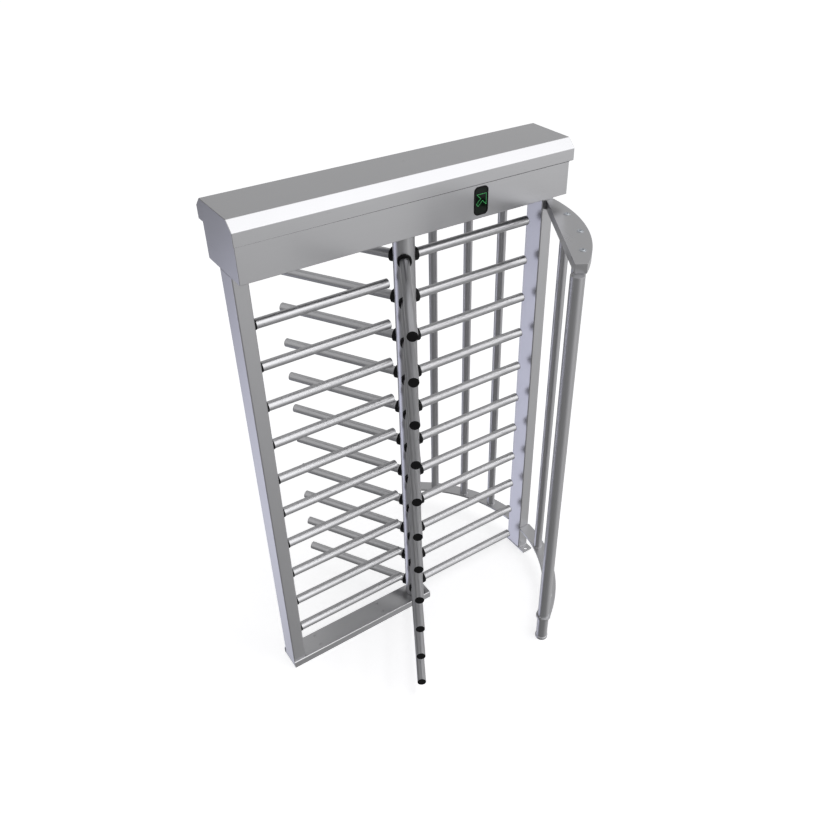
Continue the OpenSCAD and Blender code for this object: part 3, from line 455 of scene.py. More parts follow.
def skin(rings, loop=False):
    """Faces between rings of points, each closed on itself. A ring of one point is a pole.
    The grain map holds metres: U from ring to ring, and V round a ring."""
    bm = bmesh.new()
    grain = bm.loops.layers.uv.new(GRAIN)
    rows = [[bm.verts.new(point) for point in ring] for ring in rings]
    along = 0.0
    for i in range(len(rows) if loop else len(rows) - 1):
        here, there = rows[i], rows[(i + 1) % len(rows)]
        wide = here if len(here) > 1 else there
        step = (here[0].co - there[0].co).length
        around = 0.0
        for k in range(len(wide)):
            width = (wide[k].co - wide[(k + 1) % len(wide)].co).length
            corners = dict([
                (here[k % len(here)], (along, around)),
                (here[(k + 1) % len(here)], (along, around + width)),
                (there[(k + 1) % len(there)], (along + step, around + width)),
                (there[k % len(there)], (along + step, around))])
            face = bm.faces.new(corners)
            for corner in face.loops:
                corner[grain].uv = corners[corner.vert]
            around += width
        along += step
    return bm


def lathe(outline, place=UP, loop=False, segments=ROUND):
    """Turns an outline of radius and height round Z, and puts it in its place."""
    rings = []
    for radius, height in outline:
        count = segments if radius > 1e-6 else 1
        rings.append([place @ Vector((radius * math.cos(k * math.tau / count),
                                      radius * math.sin(k * math.tau / count), height))
                      for k in range(count)])
    return skin(rings, loop)


def footprint(low, high, inset=0.0):
    """Corners of a box seen from above, drawn in by an inset."""
    x0, x1, y0, y1 = low.x + inset, high.x - inset, low.y + inset, high.y - inset
    return [(x0, y0), (x1, y0), (x1, y1), (x0, y1)]


def slab(outline, low, high):
    """A plate between two heights."""
    return shell([*((x, y, low) for x, y in outline), *((x, y, high) for x, y in outline)], [
        range(len(outline)), range(len(outline), 2 * len(outline)),
        *((k, (k + 1) % len(outline), (k + 1) % len(outline) + len(outline), k + len(outline))
          for k in range(len(outline)))])


def shell(corners, faces):
    """Flat faces between numbered corners."""
    bm = bmesh.new()
    bm.loops.layers.uv.new(GRAIN)
    verts = [bm.verts.new(corner) for corner in corners]
    for face in faces:
        bm.faces.new([verts[k] for k in face])
    return bm


def wire(paths):
    """Closed rings of edges through points."""
    bm = bmesh.new()
    for path in paths:
        verts = [bm.verts.new(point) for point in path]
        for k in range(len(verts)):
            bm.edges.new((verts[k - 1], verts[k]))
    return bm


def circle(radius, place):
    """Points round a level circle in its place."""
    return [place @ Vector((radius * math.cos(k * math.tau / ROUND),
                            radius * math.sin(k * math.tau / ROUND), 0)) for k in range(ROUND)]


def lay_grain(bm, axis):
    """Runs the grain along one axis on flat faces, or along the next one where a face looks that way."""
    bm.normal_update()
    grain = bm.loops.layers.uv.verify()
    for face in bm.faces:
        through = max(range(3), key=lambda a: abs(face.normal[a]))
        plane = [a for a in range(3) if a != through]
        if plane[1] == axis:
            plane.reverse()
        for corner in face.loops:
            corner[grain].uv = [corner.vert.co[a] for a in plane]
    return bm


def joined(parts):
    """Several meshes as one."""
    whole, *others = parts
    for part in others:
        mesh = bpy.data.meshes.new("part")
        part.to_mesh(mesh)
        part.free()
        whole.from_mesh(mesh)
        bpy.data.meshes.remove(mesh)
    return whole


def raw_piece(bm, name):
    """A mesh as an object, with its doubles merged and its faces outwards."""
    bmesh.ops.remove_doubles(bm, verts=bm.verts, dist=1e-6)
    bmesh.ops.recalc_face_normals(bm, faces=bm.faces)
    mesh = bpy.data.meshes.new(name)
    bm.to_mesh(mesh)
    bm.free()
    made = bpy.data.objects.new(name, mesh)
    bpy.context.scene.collection.objects.link(made)
    return made


def settle(piece):
    """Turns a piece's modifiers into its plain mesh."""
    graph = bpy.context.evaluated_depsgraph_get()
    mesh = bpy.data.meshes.new_from_object(piece.evaluated_get(graph))
    piece.modifiers.clear()
    old, piece.data = piece.data, mesh
    bpy.data.meshes.remove(old)
    mesh.name = piece.name
    return piece


def modify(piece, kind, **settings):
    """Adds a modifier with its settings."""
    made = piece.modifiers.new(kind.lower(), kind)
    for name, value in settings.items():
        setattr(made, name, value)
    return piece


def soften(piece, width, segments=3, angle=30):
    """Rounds the sharp edges of a piece."""
    return modify(piece, "BEVEL", width=width, segments=segments, limit_method="ANGLE",
                  angle_limit=math.radians(angle))


def cut(piece, cutters):
    """Takes the cutters away from a piece, and removes them."""
    tool = raw_piece(joined(cutters), "cutters")
    modify(piece, "BOOLEAN", operation="DIFFERENCE", solver="EXACT", object=tool)
    settle(piece)
    bpy.data.meshes.remove(tool.data)
    return piece


def cut_with(piece, tool):
    """Takes an object's mesh away from a piece, and removes it."""
    cutter = bmesh.new()
    cutter.from_mesh(tool.data)
    bpy.data.meshes.remove(tool.data)
    return cut(piece, [cutter])


def rod(radius, low, high, place=UP):
    """A closed round bar between two heights on its axis."""
    return lathe([(0, low), (radius, low), (radius, high), (0, high)], place)


def add(piece, body, slot, replaced=()):
    """Gives a piece its shading, its finish, its body and the frame's nodes that it stands for."""
    settle(piece)
    piece.data.materials.clear()
    piece.data.materials.append(finish(slot))
    piece.data.shade_smooth()
    piece.data.set_sharp_from_angle(angle=SMOOTH)
    modify(piece, "WEIGHTED_NORMAL", keep_sharp=True)
    settle(piece)
    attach(piece, body)
    if replaced:
        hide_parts(*replaced)
    return piece


def new_tree(name, inputs):
    """A Geometry Nodes tree with named inputs, and the sockets that give them."""
    tree = bpy.data.node_groups.new(name, "GeometryNodeTree")
    for label, kind in [("Geometry", "Geometry"), *inputs, ("Material", "Material")]:
        tree.interface.new_socket(label, in_out="INPUT", socket_type=f"NodeSocket{kind}")
    tree.interface.new_socket("Geometry", in_out="OUTPUT", socket_type="NodeSocketGeometry")
    return tree, add_node(tree, "NodeGroupInput").outputs


def close_tree(tree, geometry, material):
    """Ends a tree in real geometry with its material."""
    real = add_node(tree, "GeometryNodeRealizeInstances", {"Geometry": geometry})
    painted = add_node(tree, "GeometryNodeSetMaterial", {
        "Geometry": real.outputs["Geometry"], "Material": material})
    add_node(tree, "NodeGroupOutput", {"Geometry": painted.outputs["Geometry"]})
    return tree


def rows_and_turns():
    """Copies a piece in a straight row, and turns the row round the upright axis."""
    tree, given = new_tree("rows_and_turns", [
        ("Count", "Int"), ("Step", "Vector"), ("Turns", "Int"), ("First Turn", "Float"),
        ("Turn Step", "Float")])
    line = add_node(tree, "GeometryNodeMeshLine", {
        "Count": given["Count"], "Offset": given["Step"]}, mode="OFFSET")
    row = add_node(tree, "GeometryNodeInstanceOnPoints", {
        "Points": line.outputs["Mesh"], "Instance": given["Geometry"]})
    index = add_node(tree, "GeometryNodeInputIndex").outputs["Index"]
    angle = add_node(tree, "ShaderNodeMath", {
        0: index, 1: given["Turn Step"], 2: given["First Turn"]}, operation="MULTIPLY_ADD")
    spin = add_node(tree, "ShaderNodeCombineXYZ", {"Z": angle.outputs["Value"]})
    hub = add_node(tree, "GeometryNodeMeshLine", {
        "Count": given["Turns"], "Offset": (0.0, 0.0, 0.0)}, mode="OFFSET")
    turned = add_node(tree, "GeometryNodeInstanceOnPoints", {
        "Points": hub.outputs["Mesh"], "Instance": row.outputs["Instances"],
        "Rotation": spin.outputs["Vector"]})
    return close_tree(tree, turned.outputs["Instances"], given["Material"])


def rippled_bead():
    """Sweeps a weld bead along the piece's edges, with a ripple at every step of the torch."""
    tree, given = new_tree("rippled_bead", [("Radius", "Float"), ("Ripple", "Float")])
    path = add_node(tree, "GeometryNodeMeshToCurve", {"Mesh": given["Geometry"]})
    step = add_node(tree, "ShaderNodeMath", {0: given["Ripple"], 1: 4.0}, operation="DIVIDE")
    fine = add_node(tree, "GeometryNodeResampleCurve", {
        "Curve": path.outputs["Curve"], "Length": step.outputs["Value"]}, mode="LENGTH")
    run = add_node(tree, "GeometryNodeSplineParameter").outputs["Length"]
    phase = add_node(tree, "ShaderNodeMath", {0: run, 1: given["Ripple"]}, operation="DIVIDE")
    full = add_node(tree, "ShaderNodeMath", {0: phase.outputs["Value"], 1: math.tau}, operation="MULTIPLY")
    wave = add_node(tree, "ShaderNodeMath", {0: full.outputs["Value"]}, operation="SINE")
    swell = add_node(tree, "ShaderNodeMath", {
        0: wave.outputs["Value"], 1: 0.12, 2: 1.0}, operation="MULTIPLY_ADD")
    round_wire = add_node(tree, "GeometryNodeCurvePrimitiveCircle", {
        "Resolution": 8, "Radius": given["Radius"]})
    bead = add_node(tree, "GeometryNodeCurveToMesh", {
        "Curve": fine.outputs["Curve"], "Profile Curve": round_wire.outputs["Curve"],
        "Scale": swell.outputs["Value"], "Fill Caps": True})
    return close_tree(tree, bead.outputs["Mesh"], given["Material"])


def lights_on_path():
    """Sets a small domed light at every step along the piece's edges."""
    tree, given = new_tree("lights_on_path", [
        ("Radius", "Float"), ("Pitch", "Float"), ("Height", "Float")])
    path = add_node(tree, "GeometryNodeMeshToCurve", {"Mesh": given["Geometry"]})
    spots = add_node(tree, "GeometryNodeResampleCurve", {
        "Curve": path.outputs["Curve"], "Length": given["Pitch"]}, mode="LENGTH")
    ball = add_node(tree, "GeometryNodeMeshIcoSphere", {"Radius": given["Radius"], "Subdivisions": 2})
    flat = add_node(tree, "ShaderNodeCombineXYZ", {"X": 1.0, "Y": given["Height"], "Z": 1.0})
    domes = add_node(tree, "GeometryNodeInstanceOnPoints", {
        "Points": spots.outputs["Curve"], "Instance": ball.outputs["Mesh"],
        "Scale": flat.outputs["Vector"]})
    return close_tree(tree, domes.outputs["Instances"], given["Material"])


def grow(piece, make, slot, **values):
    """Runs a Geometry Nodes tree on a piece and keeps its result as a plain mesh."""
    tree = bpy.data.node_groups.get(make.__name__) or make()
    grown = piece.modifiers.new(make.__name__, "NODES")
    grown.node_group = tree
    values["Material"] = finish(slot)
    for item in tree.interface.items_tree:
        if item.in_out == "INPUT" and item.name in values:
            grown[item.identifier] = values[item.name]
    return settle(piece)


def repeat(piece, slot, count=1, step=(0.0, 0.0, 0.0), turns=1, first=0.0, turn_step=0.0):
    """Copies a piece in a row, and the row round the upright axis."""
    return grow(settle(piece), rows_and_turns, slot, **{
        "Count": count, "Step": step, "Turns": turns, "First Turn": first, "Turn Step": turn_step})


def screw(radius, height, shank, length, place):
    """A screw with a domed head, its hexagon socket and its shank, with Z out of its seat."""
    def ring(reach, level):
        return [place @ Vector((reach * math.cos(a), reach * math.sin(a), level)) for a in angles]

    def hexagon(reach, level):
        return [place @ Vector((r * math.cos(a), r * math.sin(a), level)) for a, r in (
            (a, reach * math.cos(math.pi / 6) / math.cos(a % (math.pi / 3) - math.pi / 6)) for a in angles)]

    angles = [k * math.tau / 24 for k in range(24)]
    socket = radius * 0.5
    return skin([
        [place @ Vector((0, 0, -length))], ring(shank, -length), ring(shank, 0),
        ring(radius * 0.97, 0), ring(radius, height * 0.15), ring(radius * 0.97, height * 0.45),
        ring(radius * 0.82, height * 0.8), ring(radius * 0.62, height * 0.97),
        ring(socket * 1.06, height), hexagon(socket, height * 0.93), hexagon(socket, height * 0.3),
        [place @ Vector((0, 0, height * 0.3))]])


def row_span(node, count):
    """Height of the first row's middle, and the step to the next row, from a node of level round bars."""
    low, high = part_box(node)
    top = high.z - sizes().arm_r
    return top, (low.z + sizes().arm_r - top) / (count - 1)


def last_guide():
    """Angle of the last guide tube from the post."""
    s = sizes()
    return s.guide_first + (s.guides - 1) * s.guide_step


def display_place():
    """The display's middle on the header's front, with Z outwards and Y up."""
    low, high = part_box("display_bezel")
    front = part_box("header_body")[0].y
    return Matrix.Translation(((low.x + high.x) / 2, front, (low.z + high.z) / 2)) @ TO_FRONT


def display_ring(edge, depth):
    """The display's rounded outline, drawn in by an edge, at a depth in front of the header."""
    low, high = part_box("display_bezel")
    x, z = (high.x - low.x) / 2 - edge, (high.z - low.z) / 2 - edge
    outline = rounded([(-x, -z), (x, -z), (x, z), (-x, z)], sizes().display_r - edge, 8)
    return [display_place() @ Vector((*point, depth)) for point in outline]


def display_plate(edge, back, front, rim=0.0):
    """A closed plate in the display's outline between two depths, with its front edge eased."""
    place = display_place()
    return skin([[place @ Vector((0, 0, back))], display_ring(edge, back), display_ring(edge, front - rim),
                 display_ring(edge + rim, front), [place @ Vector((0, 0, front))]])


class TURNSTILE_OT_header(bpy.types.Operator):
    """Folds the header's box, open at its top, with its window, its cable holes and the rotor's hole"""

    bl_idname = "turnstile.header"
    bl_label = "Header body"

    def execute(self, context):
        s = sizes()
        low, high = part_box("header_body")
        floor = footprint(low, high)
        box = shell([*((x, y, low.z) for x, y in floor), *((x, y, high.z) for x, y in floor)],
                    [range(4), *((k, (k + 1) % 4, (k + 1) % 4 + 4, k + 4) for k in range(4))])
        bmesh.ops.recalc_face_normals(box, faces=box.faces)
        sheet = raw_piece(lay_grain(box, 0), "header_body_sheet")
        if sheet.data.polygons[0].normal.z > 0:
            sheet.data.flip_normals()
        soften(sheet, s.fold_r)
        modify(sheet, "SOLIDIFY", thickness=s.sheet_t, offset=-1.0, use_even_offset=True)
        settle(sheet)
        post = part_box("right_post")
        cable_x = (post[0].x + post[1].x) / 2
        rotor_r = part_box("rotor_column")[1].x + 2 * s.sheet_t
        through = (low.z - s.sheet_t, low.z + 2 * s.sheet_t)
        cut(sheet, [rod(rotor_r, *through),
                    *(rod(s.cable_r, *through, Matrix.Translation((x, 0, 0))) for x in (-cable_x, cable_x)),
                    display_plate(s.window_edge, -3 * s.sheet_t, s.sheet_t)])
        add(sheet, "frame", "stainless_sheet", ["header_body"])
        return {"FINISHED"}


class TURNSTILE_OT_lid(bpy.types.Operator):
    """Folds the lid with its slopes and the returns under its overhangs, and sets its screws and a thin black
    strip under its edge that paints the shadow in the seam
    """

    bl_idname = "turnstile.lid"
    bl_label = "Header lid"

    def execute(self, context):
        s = sizes()
        low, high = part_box("header_lid")
        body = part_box("header_body")
        section = [(low.y, low.z), (high.y, low.z), (high.y, high.z - s.slope_h),
                   (high.y - s.slope_w, high.z), (low.y + s.slope_w, high.z), (low.y, high.z - s.slope_h)]
        corners = [(x, y, z) for x in (low.x, high.x) for y, z in section]
        inner_x, inner_y = body[1].x + 0.5 * s.sheet_t, body[1].y + 0.5 * s.sheet_t
        corners += [(low.x, inner_y, low.z), (inner_x, inner_y, low.z), (inner_x, low.y, low.z),
                    (high.x, inner_y, low.z)]
        left_back, inside, front_right, right_back = 12, 13, 14, 15
        lid = shell(corners, [
            (0, 5, 11, 6, front_right), (1, 7, 8, 2), (2, 8, 9, 3), (3, 9, 10, 4), (4, 10, 11, 5),
            (0, left_back, 1, 2, 3, 4, 5), (6, 11, 10, 9, 8, 7, right_back),
            (left_back, inside, right_back, 7, 1), (front_right, 6, right_back, inside)])
        bmesh.ops.recalc_face_normals(lid, faces=lid.faces)
        sheet = raw_piece(lay_grain(lid, 0), "header_lid_sheet")
        if sheet.data.polygons[3].normal.z < 0:
            sheet.data.flip_normals()
        soften(sheet, s.fold_r)
        modify(sheet, "SOLIDIFY", thickness=s.sheet_t, offset=-1.0, use_even_offset=True)
        add(sheet, "frame", "stainless_sheet", ["header_lid"])
        self.lay_seam_shadow_strip(low, body)
        self.set_screws(high.y)
        return {"FINISHED"}

    def lay_seam_shadow_strip(self, lid_low, body):
        """A thin black strip between the lid and the body, a painted shadow: it draws the shade in their seam
        as a fine dark line along their fronts.
        """
        s = sizes()
        front, back = lid_low.y - s.seam_shadow_out, lid_low.y + s.sheet_t
        outline = rounded([(body[0].x, front), (body[1].x, front), (body[1].x, back), (body[0].x, back)],
                          s.seam_shadow_out / 2, 3)
        # Painted shadow: a thin black nylon strip stands in for the shade in the seam under the lid.
        seam_shadow = raw_piece(slab(outline, lid_low.z - s.seam_shadow_h / 2, lid_low.z + s.seam_shadow_h / 2), "lid_seam_shadow_strip")
        add(seam_shadow, "frame", "black_plastic")

    def set_screws(self, face_y):
        """The row of screws through the lid's rear face."""
        low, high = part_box("lid_screws")
        radius = (high.z - low.z) / 2
        place = Matrix.Translation((low.x + radius, face_y, (low.z + high.z) / 2)) @ TO_BACK
        screws = raw_piece(screw(radius, high.y - face_y, sizes().screw_r, face_y - low.y, place),
                           "lid_screw_row")
        repeat(screws, "zinc_fasteners", 4, ((high.x - low.x - 2 * radius) / 3, 0.0, 0.0))
        add(screws, "frame", "zinc_fasteners", ["lid_screws"])


class TURNSTILE_OT_display(bpy.types.Operator):
    """Builds the lane display: its black bezel, its dark lens and the lights of its arrow"""

    bl_idname = "turnstile.display"
    bl_label = "Lane display"

    def execute(self, context):
        s = sizes()
        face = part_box("header_body")[0].y
        bezel, lens, arrow = (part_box(f"display_{part}") for part in ("bezel", "lens", "arrow"))
        out, tail = face - bezel[0].y, face - bezel[1].y
        front, back = face - lens[0].y, face - lens[1].y
        opening = lens[0].x - bezel[0].x
        lip = out - front
        hidden = s.window_edge + s.bore_gap * 3
        section = [(hidden, tail), (hidden, 0.0), (0.0, 0.0), (0.0, out), (opening + lip, out),
                   (opening + lip, front), (opening, front), (opening, tail)]
        eased = rounded(section, [0, 0, 0, s.bezel_edge, s.lip_edge, 0, 0, 0], 3)
        frame_ring = raw_piece(skin([display_ring(*point) for point in eased], loop=True), "display_frame")
        add(frame_ring, "frame", "black_plastic", ["display_bezel"])
        pane = raw_piece(display_plate(opening, back, front, s.lens_edge), "display_pane")
        add(pane, "frame", "display_lens", ["display_lens"])
        self.light_arrow(arrow, front)
        return {"FINISHED"}

    def light_arrow(self, box, level):
        """Sets lights along the outline of an arrow that points up and to the right. Its stem's length
        and half width are shares of its head's width."""
        s = sizes()
        low, high = box
        stem_long, stem_half = 0.4, 0.11
        wide = (high.x - low.x) * math.sqrt(2) / (0.5 + stem_long + stem_half)
        inset = s.stroke / 2
        slant, stem, foot = inset * (1 + math.sqrt(2)), wide * stem_half - inset, inset - wide * stem_long
        outline = [(slant - wide / 2, inset), (-stem, inset), (-stem, foot), (stem, foot), (stem, inset),
                   (wide / 2 - slant, inset), (0, wide / 2 - inset * math.sqrt(2))]
        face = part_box("header_body")[0].y
        place = Matrix.Translation(((low.x + high.x) / 2, face, (low.z + high.z) / 2)) @ TO_FRONT
        place = place @ Matrix.Rotation(math.radians(-45), 4, "Z")
        lights = raw_piece(wire([[place @ Vector((*point, level)) for point in outline]]), "arrow_lights")
        dome = (high.y - low.y) * 0.9 / s.diode_r
        grow(lights, lights_on_path, "display_light", Radius=s.diode_r, Pitch=s.diode_pitch, Height=dome)
        add(lights, "frame", "display_light", ["display_arrow"])


class TURNSTILE_OT_posts(bpy.types.Operator):
    """Draws both posts as rounded box tubes, and bores the left one for the comb bars"""

    bl_idname = "turnstile.posts"
    bl_label = "Posts"

    def execute(self, context):
        s = sizes()
        for side in ("left", "right"):
            low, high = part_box(f"{side}_post")
            rings = []
            for inset, level in ((0, low.z), (0, high.z), (s.post_t, high.z), (s.post_t, low.z)):
                outline = rounded(footprint(low, high, inset), s.post_r - inset, 5)
                rings.append([(x, y, level) for x, y in outline])
            post = raw_piece(skin(rings, loop=True), f"{side}_post_tube")
            if side == "left":
                top, step = row_span("comb_bars", s.rows - 1)
                bore = raw_piece(rod(s.arm_r + s.bore_gap, -2 * s.post_t, s.post_t,
                                     Matrix.Translation((high.x, 0, top)) @ TO_RIGHT), "bore")
                cut_with(post, repeat(bore, "stainless_tube", s.rows - 1, (0.0, 0.0, step)))
            add(post, "frame", "stainless_tube", [f"{side}_post"])
        return {"FINISHED"}


class TURNSTILE_OT_base(bpy.types.Operator):
    """Folds the base's cover round the left post, and makes the right post's foot"""

    bl_idname = "turnstile.base"
    bl_label = "Base cover and foot"

    def execute(self, context):
        s = sizes()
        low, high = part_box("base_cover")
        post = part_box("left_post")
        corners = [(x, y, z) for x in (low.x, high.x) for y in (low.y, high.y) for z in (low.z, high.z)]
        cover = shell(corners, [(1, 3, 7, 5), (0, 1, 5, 4), (2, 3, 7, 6), (4, 5, 7, 6)])
        bmesh.ops.recalc_face_normals(cover, faces=cover.faces)
        sheet = raw_piece(lay_grain(cover, 0), "base_cover_sheet")
        if sheet.data.polygons[0].normal.z < 0:
            sheet.data.flip_normals()
        soften(sheet, s.cover_fold_r, 5)
        modify(sheet, "SOLIDIFY", thickness=s.cover_t, offset=-1.0, use_even_offset=True)
        settle(sheet)
        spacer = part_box("base_spacers")
        holes = [(x, y) for x in (spacer[0].x + s.spacer_r, spacer[1].x - s.spacer_r)
                 for y in (spacer[0].y + s.spacer_r, spacer[1].y - s.spacer_r)]
        gap = 3 * s.bore_gap
        notch = [(low.x - gap, post[0].y - gap), (post[1].x + gap, post[0].y - gap),
                 (post[1].x + gap, post[1].y + gap), (low.x - gap, post[1].y + gap)]
        pivot_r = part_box("rotor_column")[1].x - s.pivot_in
        cut(sheet, [slab(notch, low.z - gap, high.z + gap), rod(pivot_r, low.z, high.z + gap),
                    *(rod(s.anchor_r, low.z, high.z + gap, Matrix.Translation((x, y, 0)))
                      for x, y in holes)])
        add(sheet, "frame", "stainless_sheet", ["base_cover"])
        self.plug_holes(holes, high.z)
        self.make_foot()
        return {"FINISHED"}

    def plug_holes(self, holes, level):
        """Pressed caps that close the anchor holes nearly flush with the cover."""
        s = sizes()
        radius = s.anchor_r - s.plug_gap
        outline = [(0, level - s.cover_t), (radius, level - s.cover_t), (radius, level - s.plug_gap),
                   (radius * 0.9, level), (radius * 0.6, level), (0, level - s.plug_gap)]
        plugs = joined([lathe(outline, Matrix.Translation((x, y, 0)), segments=32) for x, y in holes])
        add(raw_piece(plugs, "anchor_hole_plugs"), "frame", "stainless_sheet")

    def make_foot(self):
        """The floor plate of the right post, with a hole at each end."""
        s = sizes()
        low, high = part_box("right_foot")
        outline = rounded(footprint(low, high), s.foot_r)
        foot = raw_piece(lay_grain(slab(outline, low.z, high.z), 1), "right_foot_plate")
        cut(foot, [rod(s.foot_hole_r, low.z - OVERRUN, high.z + OVERRUN,
                       Matrix.Translation(((low.x + high.x) / 2, y, 0)))
                   for y in (low.y + s.foot_hole_in, high.y - s.foot_hole_in)])
        soften(foot, s.plate_edge / 2, 2)
        add(foot, "frame", "stainless_tube", ["right_foot"])


class TURNSTILE_OT_comb(bpy.types.Operator):
    """Sets the comb's bars, closed and rounded at their free ends, with their black collars"""

    bl_idname = "turnstile.comb"
    bl_label = "Comb"

    def execute(self, context):
        s = sizes()
        low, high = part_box("comb_bars")
        count = s.rows - 1
        top, step = row_span("comb_bars", count)
        length = high.x - low.x
        place = Matrix.Translation((low.x, 0, top)) @ TO_RIGHT
        inner, end = s.arm_r - s.tube_t, length - s.tube_t
        outline = rounded([(0, end), (inner, end), (inner, 0), (s.arm_r, 0), (s.arm_r, length), (0, length)],
                          [0, 0, 0, 0, s.bar_edge, 0])
        bars = raw_piece(lathe(outline, place), "comb_bar_row")
        repeat(bars, "stainless_tube", count, (0.0, 0.0, step))
        add(bars, "frame", "stainless_tube", ["comb_bars"])
        low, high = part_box("comb_collars")
        radius, length = high.z - top, high.x - low.x
        outline = rounded([(radius, 0), (radius, length), (s.arm_r, length), (s.arm_r, 0)],
                          [0, s.comb_edge, s.comb_edge / 2, 0], 2)
        collars = raw_piece(lathe(outline, Matrix.Translation((low.x, 0, top)) @ TO_RIGHT, loop=True),
                            "comb_collar_row")
        repeat(collars, "black_plastic", count, (0.0, 0.0, step))
        add(collars, "frame", "black_plastic", ["comb_collars"])
        return {"FINISHED"}


class TURNSTILE_OT_column(bpy.types.Operator):
    """Draws the rotor's column, with a bore for every arm"""

    bl_idname = "turnstile.column"
    bl_label = "Rotor column"

    def execute(self, context):
        s = sizes()
        low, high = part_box("rotor_column")
        outline = rounded([(high.x, low.z), (high.x, high.z), (high.x - s.column_t, high.z),
                           (high.x - s.column_t, low.z)], s.rim, 2)
        column = raw_piece(lathe(outline, loop=True, segments=96), "column_tube")
        top, step = row_span("arms_a", s.rows)
        bore = raw_piece(rod(s.arm_r + s.bore_gap, high.x / 2, high.x * 1.3,
                             Matrix.Translation((0, 0, top)) @ TO_RIGHT), "bore")
        repeat(bore, "stainless_tube", s.rows, (0.0, 0.0, step), s.wings, 0.0, math.tau / s.wings)
        cut_with(column, bore)
        add(column, "rotor", "stainless_tube", ["rotor_column"])
        return {"FINISHED"}


class TURNSTILE_OT_wings(bpy.types.Operator):
    """Sets the arms of every wing with their black caps and the collars fitted to the column"""

    bl_idname = "turnstile.wings"
    bl_label = "Wings"

    def execute(self, context):
        s = sizes()
        low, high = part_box("arms_a")
        top, step = row_span("arms_a", s.rows)
        drop = (0.0, 0.0, step)
        level = Matrix.Translation((0, 0, top)) @ TO_RIGHT
        for wing in range(s.wings):
            outline = rounded([(s.arm_r, low.x), (s.arm_r, high.x), (s.arm_r - s.tube_t, high.x),
                               (s.arm_r - s.tube_t, low.x)], [0, s.arm_rim, 0, 0], 2)
            letter = "abc"[wing]
            arms = raw_piece(lathe(outline, level, loop=True), f"arm_row_{letter}")
            repeat(arms, "stainless_tube", s.rows, drop, 1, math.tau * wing / s.wings)
            add(arms, "rotor", "stainless_tube", [f"arms_{letter}"])
        caps = raw_piece(lathe(self.cap_outline(high.x), level), "arm_cap_rows")
        repeat(caps, "black_plastic", s.rows, drop, s.wings, 0.0, math.tau / s.wings)
        add(caps, "rotor", "black_plastic", ["arm_caps"])
        collars = raw_piece(self.collar(level), "arm_collar_rows")
        repeat(collars, "black_plastic", s.rows, drop, s.wings, 0.0, math.tau / s.wings)
        add(collars, "rotor", "black_plastic", ["arm_collars"])
        return {"FINISHED"}

    def cap_outline(self, seat):
        """A plug in the tube, as long as the tube's radius, and a low dome over its rim.
        The dome's points are shares of its radius and of its height."""
        s = sizes()
        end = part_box("arm_caps")[1].x
        inner, foot = s.arm_r - s.tube_t, seat - s.arm_r
        dome = ((1, 0), (1, 0.35), (0.985, 0.62), (0.95, 0.8), (0.85, 0.9), (0.5, 0.98))
        return [(0, foot), (inner, foot), (inner, seat),
                *((s.arm_r * out, seat + (end - seat) * up) for out, up in dome), (0, end)]

    def collar(self, place):
        """A round collar whose foot follows the column."""
        s = sizes()
        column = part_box("rotor_column")[1].x
        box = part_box("arm_collars")[1]
        radius = box.z - place.translation.z
        inner = s.arm_r
        outline = rounded([(inner, 0), (radius, 0), (radius, box.x), (inner, box.x)],
                          [0, 0, s.collar_edge, s.collar_edge / 3])
        rings = []
        for reach, out in outline:
            ring = []
            for k in range(ROUND):
                angle = k * math.tau / ROUND
                x, y = reach * math.cos(angle), reach * math.sin(angle)
                ring.append(place @ Vector((x, y, max(out, math.sqrt(column ** 2 - y ** 2)))))
            rings.append(ring)
        return skin(rings, loop=True)


